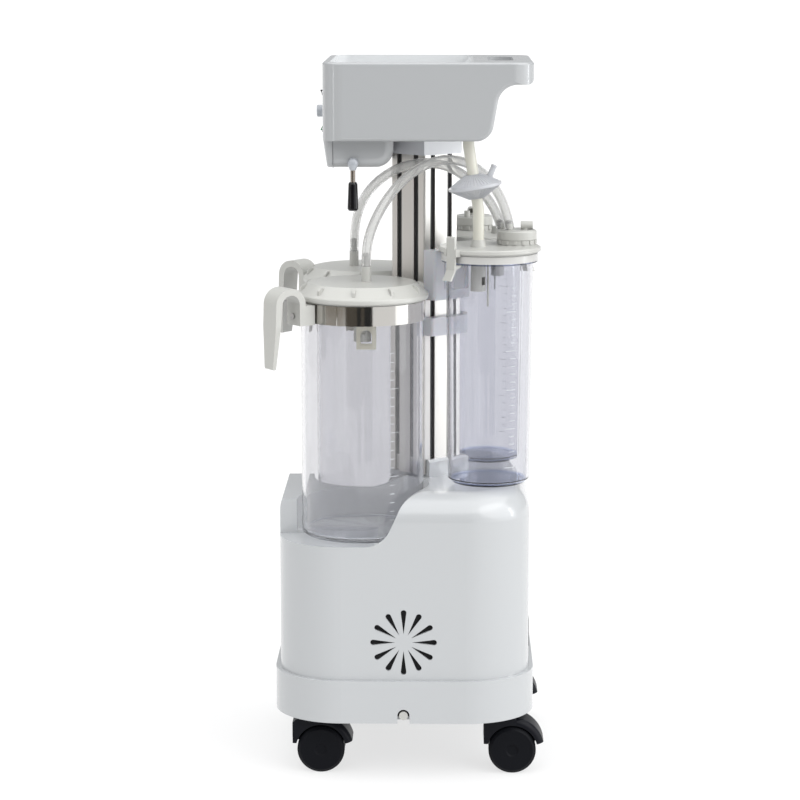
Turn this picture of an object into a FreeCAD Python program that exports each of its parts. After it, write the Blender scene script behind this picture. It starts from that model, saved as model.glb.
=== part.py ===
# Mobile suction pump on four castors: a hollow base with the pump inside, a slotted aluminium
# column, a tray housing with the controls, two large and two small collection jars, and hoses.
# Millimetres. +Z up, origin on the floor at the middle of the base; the controls face -X,
# "right" is the -Y side and "left" the +Y side.
import FreeCAD, Part
import math
import os
import re
import Sketcher

V = FreeCAD.Vector

# Driving dimensions: name, value, what it sets.
SIZES = [
    ("castor_x", 121, "castor stems from the middle, front to back"),
    ("castor_y", 114, "castor stems from the middle, side to side"),
    ("wheel_radius", 30, "castor wheel"),
    ("wheel_width", 17, "one wheel of a twin castor"),
    ("castor_trail", 16, "wheel axle behind the stem"),
    ("web_thickness", 17, "castor middle web"),
    ("hood_radius", 41, "castor hood over the wheels"),
    ("hood_width", 50, "castor hood side to side"),
    ("stem_radius", 4, "castor stem"),
    ("axle_radius", 3, "castor wheel axle"),
    ("run_gap", 0.06, "radial clearance of a running fit"),
    ("side_gap", 1, "clearance beside a turning wheel"),
    ("skirt_length", 328, "lower skirt of the base, front to back"),
    ("skirt_width", 344, "lower skirt of the base, side to side"),
    ("skirt_bottom", 74, "lower edge of the skirt above the floor"),
    ("skirt_top", 128, "step where the body sits back from the skirt"),
    ("skirt_step", 6, "depth of that step"),
    ("base_corner", 86, "plan corner radius of the skirt"),
    ("shell_wall", 4, "moulded base wall"),
    ("shoulder", 363, "top of the rear shoulder"),
    ("shoulder_round", 34, "rounding of the shoulder's edge"),
    ("lip", 298, "low lip beside the large jars"),
    ("riser_front", -50, "where the lip starts to rise"),
    ("riser_rear", 26, "where the rise reaches the shoulder"),
    ("front_wall_top", 342, "retaining wall in front of the large jars"),
    ("front_wall_half", 83, "half width of that wall"),
    ("pocket_floor", 302, "floor that the large jars stand on"),
    ("pocket_radius", 84, "round pockets for the large jars"),
    ("pedestal_top", 385, "raised collar round the column's foot"),
    ("pedestal_wall", 9, "thickness of that collar"),
    ("vent_height", 177, "middle of the round vent"),
    ("vent_outer", 41.5, "vent slots reach out to here"),
    ("vent_inner", 10.5, "vent slots start here"),
    ("vent_slot", 7, "vent slot at its round end"),
    ("vent_count", 12, "slots in one vent"),
    ("notch_width", 15, "arched notch in the skirt"),
    ("notch_height", 18, "top of that notch above the skirt's edge"),
    ("plate_thickness", 4, "chassis plate"),
    ("plate_bottom", 78, "underside of the chassis plate"),
    ("plate_gap", 1.5, "chassis plate to skirt"),
    ("pump_x", -72, "pump axis, front to back"),
    ("pump_height", 152, "pump axis above the floor"),
    ("motor_radius", 48, "pump motor"),
    ("motor_length", 118, "pump motor"),
    ("rotor_radius", 28, "rotor core"),
    ("shaft_radius", 6, "motor shaft"),
    ("head_thickness", 36, "crankcase at each end of the motor"),
    ("column_x", 24, "column axis"),
    ("column_side", 60, "slotted aluminium section"),
    ("column_bottom", 366, "column stands here"),
    ("slot_pitch", 30, "between the two slots of a face"),
    ("slot_mouth", 8.2, "slot opening"),
    ("slot_inner", 15, "slot behind its lips"),
    ("slot_lip", 3, "thickness of the slot lips"),
    ("slot_depth", 8.5, "depth of a slot"),
    ("column_bore", 16, "bore through the section"),
    ("foot_radius", 23, "post inside the base"),
    ("collar_bottom", 774, "collar under the housing"),
    ("collar_wall", 3.3, "collar wall"),
    ("housing_front", -101, "front face of the housing"),
    ("housing_rear", 159, "tip of the housing's nose"),
    ("housing_half", 125, "half width of the housing"),
    ("housing_bottom", 797, "underside of the housing"),
    ("housing_top", 893, "rim of the tray"),
    ("housing_corner", 26, "plan corner radius of the housing"),
    ("housing_wall", 4, "housing wall"),
    ("nose_bottom", 866, "underside of the nose"),
    ("nose_root", 118, "where the rear wall meets the nose"),
    ("tail_bottom", 106, "lower rear corner of the housing"),
    ("tray_depth", 26, "tray recess"),
    ("tray_margin", 9, "rim round the tray"),
    ("tray_rear", 85, "rear edge of the tray at the rim"),
    ("tray_rear_floor", 55, "rear edge of the tray at its floor"),
    ("grip_front", 103, "hand slot through the nose"),
    ("grip_rear", 135, "hand slot through the nose"),
    ("grip_half", 58, "half length of the hand slot"),
    ("box_bottom", 763, "underside of the control box"),
    ("box_half", 100, "half width of the control box"),
    ("box_rear", -14, "rear of the control box"),
    ("box_wall", 3, "control box wall"),
    ("panel_half", 92, "half width of the front panel"),
    ("panel_bottom", 802, "lower edge of the front panel"),
    ("panel_top", 861, "upper edge of the front panel"),
    ("panel_gap", 0.4, "front panel to its opening"),
    ("gauge_y", 46, "vacuum gauge on the panel"),
    ("gauge_z", 831.5, "vacuum gauge on the panel"),
    ("gauge_radius", 27, "gauge bezel"),
    ("gauge_depth", 26, "gauge case behind the panel"),
    ("knob_y", -14, "regulator knob on the panel"),
    ("knob_z", 828, "regulator knob on the panel"),
    ("knob_radius", 7.6, "regulator knob"),
    ("knob_reach", 11, "regulator knob in front of the panel"),
    ("switch_y", -60, "rocker switches on the panel"),
    ("switch_low", 817, "power switch height"),
    ("switch_high", 847, "mode switch height"),
    ("rocker_height", 21, "rocker"),
    ("rocker_width", 14, "rocker"),
    ("rocker_tilt", 15, "rocker rests tilted by this many degrees"),
    ("lever_x", -63.5, "changeover lever"),
    ("lever_z", 769, "changeover lever pivot"),
    ("lever_stem_radius", 3, "changeover lever stem"),
    ("lever_length", 58, "pivot to the end of the grip"),
    ("lever_grip", 35, "length of the grip"),
    ("jar_x", -53, "large jars"),
    ("jar_y", 85, "large jars each side of the middle"),
    ("jar_radius", 77, "large jar outside"),
    ("jar_wall", 4.5, "large jar wall"),
    ("jar_top", 598, "large jar rim"),
    ("gasket", 2, "lid gasket"),
    ("lid_radius", 82, "large lid rim"),
    ("lid_rim", 6, "thickness of the lid's rim"),
    ("lid_plateau", 67, "flat top of the large lid"),
    ("lid_height", 20, "large lid above its gasket"),
    ("lid_wall", 4, "large lid"),
    ("nozzle_radius", 6, "lid nozzle"),
    ("nozzle_height", 19, "lid nozzle"),
    ("nozzle_bore", 2.6, "passage through nozzles and barbs"),
    ("barb_radius", 3.8, "hose barb"),
    ("barb_height", 11, "hose barb"),
    ("band_height", 24, "steel clamp band"),
    ("band_thickness", 1.6, "steel clamp band"),
    ("band_gap", 0.3, "band to jar"),
    ("cage_radius", 11, "float valve cage"),
    ("cage_wall", 1.8, "float valve cage"),
    ("cage_bottom", 545, "lower end of the large jars' cages"),
    ("float_travel", 12, "float rises by this much"),
    ("handle_turn", 35, "handles point out by this many degrees"),
    ("handle_in", 79.5, "handle block starts this far from the jar's axis"),
    ("handle_block", 101, "outer face of the handle block"),
    ("handle_reach", 134.3, "outer face of the grip leg"),
    ("handle_thick", 8.3, "handle strap thickness"),
    ("handle_width", 30, "handle strap width"),
    ("handle_tip", 520, "lower end of the grip leg"),
    ("handle_top", 620, "top of the handle arch"),
    ("small_out", 115.6, "small jar axis from the column's axis"),
    ("small_radius", 54.5, "small jar at its top"),
    ("small_foot_radius", 51.3, "small jar at its bottom"),
    ("small_wall", 3, "small jar wall"),
    ("small_bottom", 367, "small jar underside"),
    ("small_rim_bottom", 646, "small jar rim"),
    ("small_top", 657, "small jar rim"),
    ("small_rim_radius", 60, "small jar rim"),
    ("small_lid_radius", 64, "small jar lid"),
    ("small_lid_thick", 6, "small jar lid flange"),
    ("cap_radius", 25, "round cap on the small lid"),
    ("cap_top", 683, "top of that cap"),
    ("cap_out", 11.7, "cap axis, outward from the small jar's axis"),
    ("cap_side", 36.8, "cap axis, sideways from the small jar's axis"),
    ("port_side", 19.8, "hose port, sideways from the small jar's axis"),
    ("port_height", 9, "hose port above the small lid"),
    ("latch_radius", 66, "inner face of the latches"),
    ("latch_width", 14, "latch"),
    ("latch_thick", 3, "latch"),
    ("latch_bottom", 627, "lower end of the latches"),
    ("latch_top", 681, "upper end of the latches"),
    ("latch_pivot", 660, "latch pivot height"),
    ("latch_pin", 1.5, "latch pivot pin radius"),
    ("small_cage_radius", 9.5, "small jar float cage"),
    ("small_cage_bottom", 610, "small jar float cage"),
    ("bracket_low", 592, "upper jar bracket"),
    ("bracket_high", 655, "upper jar bracket"),
    ("bracket_depth", 20, "upper jar bracket off the column"),
    ("strap_low", 546, "lower jar bracket"),
    ("strap_high", 569, "lower jar bracket"),
    ("strap_depth", 16, "lower jar bracket off the column"),
    ("hose_radius", 6, "clear hose"),
    ("hose_bore", 4, "clear hose bore radius"),
    ("cream_radius", 7, "silicone hose"),
    ("cream_bore", 4, "silicone hose bore radius"),
    ("port_x", 79, "suction port under the housing"),
    ("port_y", -95.7, "suction port under the housing"),
    ("filter_x", 87, "disc filter"),
    ("filter_z", 740, "disc filter"),
    ("filter_radius", 32.5, "disc filter"),
    ("filter_thick", 30, "disc filter"),
    ("filter_tilt", 9, "disc filter leans by this many degrees"),
    ("seat_gap", 0.3, "clearance between pieces that meet on curved faces"),
]

doc = FreeCAD.newDocument("SuctionPump")
sheet = doc.addObject("Spreadsheet::Sheet", "Sizes")
for row, (alias, number, note) in enumerate(SIZES, start=1):
    sheet.set("A%d" % row, note)
    sheet.set("B%d" % row, str(number))
    sheet.setAlias("B%d" % row, alias)
doc.recompute()
NAMES = {alias for alias, number, note in SIZES}
finished = []


def size(alias):
    """A driving dimension, read from the sheet."""
    return float(getattr(sheet, alias))


def bind(thing, prop, rule):
    """Ties a property to a rule made of sheet names, or sets a plain number."""
    if isinstance(rule, str):
        rule = re.sub(r"[a-z_]+", lambda m: "Sizes." + m[0] if m[0] in NAMES else m[0], rule)
        thing.setExpression(prop, rule)
    else:
        thing.setExpression(prop, str(rule))


def place(thing, at, turn=(0, 0, 0)):
    """Puts a thing at a point of rules, turned by yaw, pitch and roll in degrees."""
    thing.Placement = FreeCAD.Placement(V(0, 0, 0), FreeCAD.Rotation(*turn))
    for axis, rule in zip("xyz", at):
        bind(thing, "Placement.Base." + axis, rule)
    return thing


ALONG_X = (0, 90, 0)
ALONG_Y = (0, 0, -90)


def block(length, width, height, at, turn=(0, 0, 0)):
    """A box from its lowest corner."""
    box = doc.addObject("Part::Box", "Block")
    bind(box, "Length", length)
    bind(box, "Width", width)
    bind(box, "Height", height)
    return place(box, at, turn)


def cylinder(radius, height, at, turn=(0, 0, 0)):
    """A cylinder that rises from its place."""
    rod = doc.addObject("Part::Cylinder", "Rod")
    bind(rod, "Radius", radius)
    bind(rod, "Height", height)
    return place(rod, at, turn)


def cone(low_radius, high_radius, height, at, turn=(0, 0, 0)):
    """A tapered round piece that rises from its place."""
    taper = doc.addObject("Part::Cone", "Taper")
    bind(taper, "Radius1", low_radius)
    bind(taper, "Radius2", high_radius)
    bind(taper, "Height", height)
    return place(taper, at, turn)


def fuse(*pieces):
    """Joins pieces into one solid."""
    joined = doc.addObject("Part::MultiFuse", "Joined")
    joined.Shapes = list(pieces)
    return joined


def cut(base, *tools):
    """Takes the tools away from the base."""
    left = doc.addObject("Part::Cut", "Cut")
    left.Base = base
    left.Tool = tools[0] if len(tools) == 1 else fuse(*tools)
    return left


def group(*pieces):
    """Keeps pieces apart as separate solids of one node."""
    together = doc.addObject("Part::Compound", "Group")
    together.Links = list(pieces)
    return together


def node(label, thing):
    """Names a finished sub-part."""
    thing.Label = label
    finished.append(thing)
    return thing


def shaped(shape, at=(0, 0, 0), turn=(0, 0, 0)):
    """A sub-part whose shape is worked out below."""
    piece = doc.addObject("Part::Feature", "Shaped")
    piece.Shape = shape
    piece.Placement = FreeCAD.Placement(V(*at), FreeCAD.Rotation(*turn))
    return piece


def origin_plane(body, role):
    """One of a body's own origin planes or axes."""
    return next(feature for feature in body.Origin.OriginFeatures if feature.Role == role)


def turned(outline, at=(0, 0, 0), turn=(0, 0, 0)):
    """A body turned about its own Z axis from an outline of (radius, height) rules."""
    body = doc.addObject("PartDesign::Body", "Turned")
    sketch = body.newObject("Sketcher::SketchObject", "Outline")
    sketch.AttachmentSupport = [(origin_plane(body, "XZ_Plane"), "")]
    sketch.MapMode = "FlatFace"
    count = len(outline)
    guess = [V(number(radius), number(height), 0) for radius, height in outline]
    for index in range(count):
        sketch.addGeometry(Part.LineSegment(guess[index], guess[(index + 1) % count]))
    for index in range(count):
        sketch.addConstraint(Sketcher.Constraint("Coincident", index, 2, (index + 1) % count, 1))
    for index, (radius, height) in enumerate(outline):
        for kind, rule, start in (("DistanceX", radius, guess[index].x), ("DistanceY", height, guess[index].y)):
            place_in_list = sketch.addConstraint(Sketcher.Constraint(kind, -1, 1, index, 1, start))
            bind(sketch, "Constraints[%d]" % place_in_list, rule)
    solid = body.newObject("PartDesign::Revolution", "Turning")
    solid.Profile = sketch
    solid.ReferenceAxis = (sketch, ["V_Axis"])
    solid.Angle = 360
    body.Tip = solid
    return place(body, at, turn)


def number(rule):
    """The value of a rule that is a number or a sum, difference, product or share of sheet names."""
    if not isinstance(rule, str):
        return float(rule)
    terms = re.findall(r"([+-]?)\s*([^+\s-]+)", rule)
    total = 0.0
    for sign, term in terms:
        value = 1.0
        for mark, factor in re.findall(r"([*/]?)([^*/]+)", term):
            amount = size(factor) if factor in NAMES else float(factor)
            value = value / amount if mark == "/" else value * amount
        total += -value if sign == "-" else value
    return total


# ---- shapes worked out from the sheet ----

def rounded_plan(x_low, x_high, half, corner, z_low, z_high):
    """An upright block with round plan corners."""
    plate = Part.makeBox(x_high - x_low, 2 * half, z_high - z_low, V(x_low, -half, z_low))
    upright = [edge for edge in plate.Edges if abs(edge.tangentAt(edge.FirstParameter).z) > 0.9]
    return plate.makeFillet(corner, upright)


def side_profile(corners, half):
    """A side outline of (x, z) or (x, z, rounding) corners, pulled across the width."""
    edges = []
    rounded = []
    for index, corner in enumerate(corners):
        here = V(corner[0], 0, corner[1])
        if len(corner) == 2:
            rounded.append((here, here, here))
            continue
        back = V(corners[index - 1][0], 0, corners[index - 1][1]) - here
        ahead_corner = corners[(index + 1) % len(corners)]
        ahead = V(ahead_corner[0], 0, ahead_corner[1]) - here
        half_angle = back.getAngle(ahead) / 2
        trim = corner[2] / math.tan(half_angle)
        first, last = here + back.normalize() * trim, here + ahead.normalize() * trim
        inward = (first + last - here * 2).normalize()
        rounded.append((first, here + inward * (corner[2] / math.sin(half_angle) - corner[2]), last))
    for index, (first, middle, last) in enumerate(rounded):
        if first != last:
            edges.append(Part.Arc(first, middle, last).toShape())
        following = rounded[(index + 1) % len(rounded)][0]
        if (following - last).Length > 1e-6:
            edges.append(Part.LineSegment(last, following).toShape())
    face = Part.Face(Part.Wire(edges))
    face.translate(V(0, -half, 0))
    return face.extrude(V(0, 2 * half, 0))


def s_rise(x_front, z_front, x_rear, z_rear):
    """A smooth step up: a slope with the largest equal roundings at its foot and its top."""
    run, rise = x_rear - x_front, z_rear - z_front
    lean = run * 0.3
    slope = math.hypot(run - 2 * lean, rise)
    turn = math.atan2(rise, run - 2 * lean)
    rounding = min(lean, slope / 2) / math.tan(turn / 2) * 0.98
    return [(x_front + lean, z_front, rounding), (x_rear - lean, z_rear, rounding)]


def square_post(side, z_low, z_high):
    """A square post on the column's axis, one corner to the front."""
    post = Part.makeBox(side, side, z_high - z_low, V(-side / 2, -side / 2, z_low))
    post.rotate(V(0, 0, 0), V(0, 0, 1), 45)
    post.translate(V(size("column_x"), 0, 0))
    return post


def pocket(side, radius, z_low, z_high):
    """The round room of one large jar; side is -1 on the right and 1 on the left."""
    return Part.makeCylinder(radius, z_high - z_low, V(size("jar_x"), side * size("jar_y"), z_low))


def base_form(inset, bottom):
    """The base's outer form, or with an inset the room inside its wall."""
    skirt_x = size("skirt_length") / 2 - inset
    skirt_y = size("skirt_width") / 2 - inset
    body_x = skirt_x - size("skirt_step")
    body_y = skirt_y - size("skirt_step")
    corner = size("base_corner") - inset
    top = size("shoulder") - inset
    step = size("skirt_top") - inset
    skirt = rounded_plan(-skirt_x, skirt_x, skirt_y, corner, bottom, step)
    body = rounded_plan(-body_x, body_x, body_y, corner - size("skirt_step"), bottom, top)
    rim = [edge for edge in body.Edges if edge.BoundBox.ZMin > top - 0.01]
    body = body.makeFillet(size("shoulder_round") - inset, rim)
    low, front_x, rear_x = size("lip") - inset, size("riser_front") + inset / 2, size("riser_rear") + inset / 2
    flank = side_profile([(-300, 0), (-300, low)] + s_rise(front_x, low, rear_x, top) + [(300, top), (300, 0)],
                         300)
    wall = size("front_wall_top") - inset
    middle = side_profile([(-300, 0), (-300, wall)] + s_rise(front_x, wall, rear_x, top) + [(300, top),
                                                                                            (300, 0)],
                          size("front_wall_half") - inset)
    form = skirt.fuse(body.common(flank.fuse(middle)))
    for side in (-1, 1):
        form = form.cut(pocket(side, size("pocket_radius") + inset, size("pocket_floor") - inset, 500))
    return form


def vent_slots(side):
    """The teardrop slots of one side's vent, cut through the flat wall."""
    slot = size("vent_slot") / 2
    reach = size("vent_outer") - slot
    spread = math.asin(slot / (reach - size("vent_inner")))
    touch = reach - slot * math.sin(spread)
    lift = slot * math.cos(spread)
    tip, upper, lower = V(size("vent_inner"), 0, 0), V(touch, 0, lift), V(touch, 0, -lift)
    edges = [Part.LineSegment(tip, upper).toShape(),
             Part.Arc(upper, V(reach + slot, 0, 0), lower).toShape(),
             Part.LineSegment(lower, tip).toShape()]
    depth = 4 * size("shell_wall")
    drop = Part.Face(Part.Wire(edges)).extrude(V(0, depth, 0))
    drop.translate(V(0, side * (size("skirt_width") / 2 - size("skirt_step")) - depth / 2, size("vent_height")))
    slots = []
    for index in range(int(size("vent_count"))):
        one = drop.copy()
        one.rotate(V(0, 0, size("vent_height")), V(0, 1, 0), index * 360 / size("vent_count"))
        slots.append(one)
    return slots


def base_shell():
    """The moulded base: one wall all over, open underneath."""
    shell = base_form(0, size("skirt_bottom")).cut(base_form(size("shell_wall"), size("skirt_bottom") - 10))
    collar = square_post(size("column_side") + 2 * size("pedestal_wall"), size("shoulder") - size("shell_wall"),
                         size("pedestal_top"))
    collar = collar.makeChamfer(3,
                                [edge for edge in collar.Edges if edge.BoundBox.ZMin > size("pedestal_top") - 0.01])
    for side in (-1, 1):
        collar = collar.cut(pocket(side, size("pocket_radius") + 2 * size("shell_wall"), 300, 500))
        shell = shell.cut(Part.makeCompound(vent_slots(side)))
    shell = shell.fuse(collar)
    shell = shell.cut(square_post(size("column_side") + 2 * size("seat_gap"), size("column_bottom"), 500))
    shell = shell.cut(Part.makeCylinder(size("foot_radius") + size("seat_gap"), 400,
                                        V(size("column_x"), 0, 50)))
    half = size("notch_width") / 2
    spring = size("skirt_bottom") + size("notch_height") - half
    arch = Part.makeCylinder(half, 400, V(0, -200, spring), V(0, 1, 0))
    arch = arch.fuse(Part.makeBox(2 * half, 400, spring - 50, V(-half, -200, 50)))
    shell = shell.cut(arch)
    inlet = Part.makeBox(40, 48, 28, V(size("skirt_length") / 2 - size("skirt_step") - 20, -24, 141))
    shell = shell.cut(inlet)
    return shell.removeSplitter()


node("base_shell", shaped(base_shell()))


def base_plate():
    """The chassis plate that closes the base and carries the castors and the pump."""
    margin = size("shell_wall") + size("plate_gap")
    plate = rounded_plan(-size("skirt_length") / 2 + margin, size("skirt_length") / 2 - margin,
                         size("skirt_width") / 2 - margin, size("base_corner") - margin,
                         size("plate_bottom"), size("plate_bottom") + size("plate_thickness"))
    for x_sign in (-1, 1):
        for y_sign in (-1, 1):
            spot = V(x_sign * size("castor_x"), y_sign * size("castor_y"), 0)
            plate = plate.cut(Part.makeCylinder(size("stem_radius"), 200, spot))
    return plate


node("base_plate", shaped(base_plate()))

# Black mesh behind each vent, and the white plugs in the skirt's notches.
backing = []
plugs = []
for side in (-1, 1):
    wall_y = "skirt_width/2-skirt_step-shell_wall-2.5" if side > 0 else "shell_wall-skirt_width/2+skirt_step+0.5"
    backing.append(cylinder("vent_outer+5", 2, (0, wall_y, "vent_height"), ALONG_Y))
    plug_y = "skirt_width/2-plate_gap-shell_wall" if side > 0 else "plate_gap-skirt_width/2"
    plugs.append(cylinder(5.5, "shell_wall", (0, plug_y, "plate_bottom+5.6"), ALONG_Y))
node("vent_filters", group(*backing))
node("skirt_plugs", group(*plugs))

# ---- castors ----
CASTORS = {"front_right": (-1, -1), "front_left": (-1, 1), "rear_right": (1, -1), "rear_left": (1, 1)}


def signed(sign, rule):
    """A rule on the front or right side, or on the other."""
    return rule if sign > 0 else "0-" + rule


def castor_hood():
    """Hood, middle web and stem socket of one castor, with the stem on the Z axis."""
    trail, radius, half = size("castor_trail"), size("hood_radius"), size("hood_width") / 2
    web = size("web_thickness") / 2
    centre = V(trail, 0, size("wheel_radius"))
    hood = Part.makeCylinder(radius, 2 * half, centre - V(0, half, 0), V(0, 1, 0))
    hood = hood.makeFillet(8, [edge for edge in hood.Edges if edge.Closed])
    nose = Part.makeBox(radius, 2 * half, radius * 0.62, V(trail - radius + 5, -half, centre.z + radius * 0.38))
    nose = nose.common(Part.makeCylinder(radius + 9, 2 * half, centre - V(0, half, 0), V(0, 1, 0)))
    hood = hood.fuse(nose)
    room = size("wheel_radius") + 2 * size("side_gap")
    for side in (-1, 1):
        start = centre + V(0, side * web, 0)
        hood = hood.cut(Part.makeCylinder(room, half, start, V(0, side, 0)))
    low = Part.makeBox(200, 200, 100, V(-100, -100, -100))
    low.rotate(V(0, 0, 0), V(0, 1, 0), -14)
    low.translate(centre)
    below = Part.makeBox(200, 200, 100, V(-100, -100, centre.z - 92))
    hood = hood.cut(low.common(Part.makeBox(200, 200, 300, V(trail, -100, -100))))
    hood = hood.cut(below)
    hub = Part.makeCylinder(11, 2 * web, centre - V(0, web, 0), V(0, 1, 0))
    hood = hood.fuse(hub)
    rear = Part.makeBox(100, 200, 100, V(trail - radius - 95, -100, -10))
    hood = hood.cut(rear)
    top = Part.makeBox(200, 200, 50, V(-100, -100, size("plate_bottom") - 7))
    hood = hood.cut(top)
    socket = Part.makeCylinder(size("stem_radius") + size("run_gap"), 100, V(0, 0, size("wheel_radius") + 10))
    axle = Part.makeCylinder(size("axle_radius") + size("run_gap"), 200, centre - V(0, 100, 0), V(0, 1, 0))
    return hood.cut(socket).cut(axle).removeSplitter()


def castor_wheels(x_rule, y_rule):
    """Two wheels pressed on one axle."""
    pair = []
    for side in (-1, 1):
        tread = turned([("axle_radius", 0), ("wheel_radius-2", 0), ("wheel_radius", 2),
                        ("wheel_radius", "wheel_width-4"),
                        ("wheel_radius-4", "wheel_width"), (8, "wheel_width"), (6, "wheel_width-1.5"),
                        ("axle_radius", "wheel_width-1.5")],
                       (x_rule, y_rule + ("+" if side > 0 else "-") + "web_thickness/2"
                        + ("+" if side > 0 else "-") + "side_gap", "wheel_radius"),
                       (0, 0, -90 * side))
        pair.append(tread)
    axle = cylinder("axle_radius", "web_thickness+2*side_gap+2*wheel_width-3",
                    (x_rule, y_rule + "-web_thickness/2-side_gap-wheel_width+1.5", "wheel_radius"), ALONG_Y)
    return group(*pair, axle)


stems = []
for name, (x_sign, y_sign) in CASTORS.items():
    stem_x, stem_y = signed(x_sign, "castor_x"), signed(y_sign, "castor_y")
    node("castor_hood_" + name, shaped(castor_hood(), (x_sign * size("castor_x"), y_sign * size("castor_y"),
                                                       0)))
    node("castor_wheels_" + name, castor_wheels(stem_x + "+castor_trail", stem_y))
    stem = turned([(0, "wheel_radius+11"), ("stem_radius", "wheel_radius+11"),
                   ("stem_radius", "plate_bottom-5"),
                   ("2.2*stem_radius", "plate_bottom-5"), ("2.2*stem_radius", "plate_bottom"),
                   ("stem_radius", "plate_bottom"), ("stem_radius", "plate_bottom+plate_thickness+6"),
                   (0, "plate_bottom+plate_thickness+6")], (stem_x, stem_y, 0))
    stems.append(stem)
node("castor_stems", group(*stems))

# ---- pump inside the base ----
node("pump_motor", cut(cylinder("motor_radius", "motor_length", ("pump_x", "0-motor_length/2", "pump_height"),
                                ALONG_Y),
                       cylinder("rotor_radius+1", "motor_length", ("pump_x", "0-motor_length/2", "pump_height"),
                                ALONG_Y)))
ROTOR = [(0, "0-motor_length/2-head_thickness+6"), (0, "motor_length/2+head_thickness-6"),
         ("shaft_radius", "motor_length/2+head_thickness-6"), ("shaft_radius", "motor_length/2+23"),
         (17, "motor_length/2+23"), (17, "motor_length/2+11"), ("shaft_radius", "motor_length/2+11"),
         ("shaft_radius", "motor_length/2-9"), ("rotor_radius", "motor_length/2-9"),
         ("rotor_radius", "9-motor_length/2"), ("shaft_radius", "9-motor_length/2"),
         ("shaft_radius", "0-motor_length/2-11"), (17, "0-motor_length/2-11"), (17, "0-motor_length/2-23"),
         ("shaft_radius", "0-motor_length/2-23"), ("shaft_radius", "0-motor_length/2-head_thickness+6")]
node("pump_rotor", turned(ROTOR, ("pump_x", 0, "pump_height"), ALONG_Y))


def pump_head(side):
    """A crankcase with its upright cylinder, at one end of the motor."""
    start = "motor_length/2" if side > 0 else "0-motor_length/2-head_thickness"
    room = "motor_length/2+8" if side > 0 else "0-motor_length/2-28"
    case = block(76, "head_thickness", 84, ("pump_x-38", start, "pump_height-42"))
    barrel = cylinder(17, 62, ("pump_x", start + "+head_thickness/2", "pump_height+30"))
    return cut(fuse(case, barrel), cylinder(20, 20, ("pump_x", room, "pump_height"), ALONG_Y),
               cylinder("shaft_radius+run_gap", "head_thickness", ("pump_x", start, "pump_height"), ALONG_Y))


node("pump_heads", group(pump_head(-1), pump_head(1)))
feet = []
for x_offset in ("-26", "+26"):
    for side in (-1, 1):
        foot_y = signed(side, "motor_length/2").replace("0-", "-") + ("+18" if side > 0 else "-18")
        feet.append(cylinder(10, "pump_height-42-plate_bottom-plate_thickness",
                             ("pump_x" + x_offset, foot_y, "plate_bottom+plate_thickness")))
node("pump_feet", group(*feet))
INLET_X = "skirt_length/2-skirt_step"
node("power_inlet", cut(fuse(block(24, 47.4, 27.4, (INLET_X + "-24", -23.7, 141.3)),
                             block(2.5, 56, 36, (INLET_X, -28, 137))),
                        block(18, 27, 17, (INLET_X + "-15.5", -13.5, 146.5))))


# ---- column ----
def slot_cutter(length):
    """One slot of the section, opening towards +X, from its mouth inwards."""
    mouth, inner, lip, depth = size("slot_mouth") / 2, size("slot_inner") / 2, size("slot_lip"), size("slot_depth")
    outline = [(1, -mouth), (-lip, -mouth), (-lip, -inner), (lip - depth, -inner), (-depth, lip - inner),
               (-depth, inner - lip), (lip - depth, inner), (-lip, inner), (-lip, mouth), (1, mouth)]
    wire = Part.makePolygon([V(x, y, 0) for x, y in outline + outline[:1]])
    return Part.Face(wire).extrude(V(0, 0, length))


def column_section():
    """The slotted section: two slots in each face, a bore, and small round corners."""
    bottom, top = size("column_bottom"), size("housing_top") - size("tray_depth") - size("housing_wall")
    half = size("column_side") / 2
    post = Part.makeBox(2 * half, 2 * half, top - bottom, V(-half, -half, bottom))
    upright = [edge for edge in post.Edges if abs(edge.tangentAt(edge.FirstParameter).z) > 0.9]
    post = post.makeFillet(2.7, upright)
    tools = [Part.makeCylinder(size("column_bore") / 2, top, V(0, 0, 0))]
    for face in range(4):
        for offset in (-size("slot_pitch") / 2, size("slot_pitch") / 2):
            one = slot_cutter(top - bottom)
            one.translate(V(half, offset, bottom))
            one.rotate(V(0, 0, 0), V(0, 0, 1), 90 * face)
            tools.append(one)
    return post.cut(Part.makeCompound(tools))


node("column_profile", shaped(column_section(), (size("column_x"), 0, 0), (45, 0, 0)))
FOOT_TOP = "column_bottom-plate_bottom-plate_thickness"
node("column_foot", turned([("foot_radius-5", 0), ("2*foot_radius", 0), ("2*foot_radius", 6), ("foot_radius",
                                                                                               6),
                            ("foot_radius", FOOT_TOP), ("foot_radius-5", FOOT_TOP)],
                           ("column_x", 0, "plate_bottom+plate_thickness")))


def square_ring():
    """The collar where the column enters the housing."""
    outer = size("column_side") + 2 * size("collar_wall")
    ring = square_post(outer, size("collar_bottom"), size("housing_bottom"))
    return ring.cut(square_post(size("column_side") + 2 * size("seat_gap"), 0, 1000))


node("column_collar", shaped(square_ring()))
COLUMN_TURNS = {"right": -45, "left": 45}


def jar_bracket(low, high, depth):
    """A block on one face of the column, in that face's own frame, with bolt rooms."""
    start = size("column_side") / 2
    piece = Part.makeBox(depth, size("column_side") + 2, high - low,
                         V(start, -size("column_side") / 2 - 1, low))
    edges = [edge for edge in piece.Edges
             if edge.BoundBox.XMin > start + depth - 0.01 and edge.BoundBox.ZLength > 1]
    return piece.makeFillet(4, edges)


brackets = []
for turn in COLUMN_TURNS.values():
    for low, high, depth in (("bracket_low", "bracket_high", "bracket_depth"),
                             ("strap_low", "strap_high", "strap_depth")):
        brackets.append(shaped(jar_bracket(size(low), size(high), size(depth)), (size("column_x"), 0, 0),
                               (turn, 0, 0)))
node("jar_brackets", group(*brackets))


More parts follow.
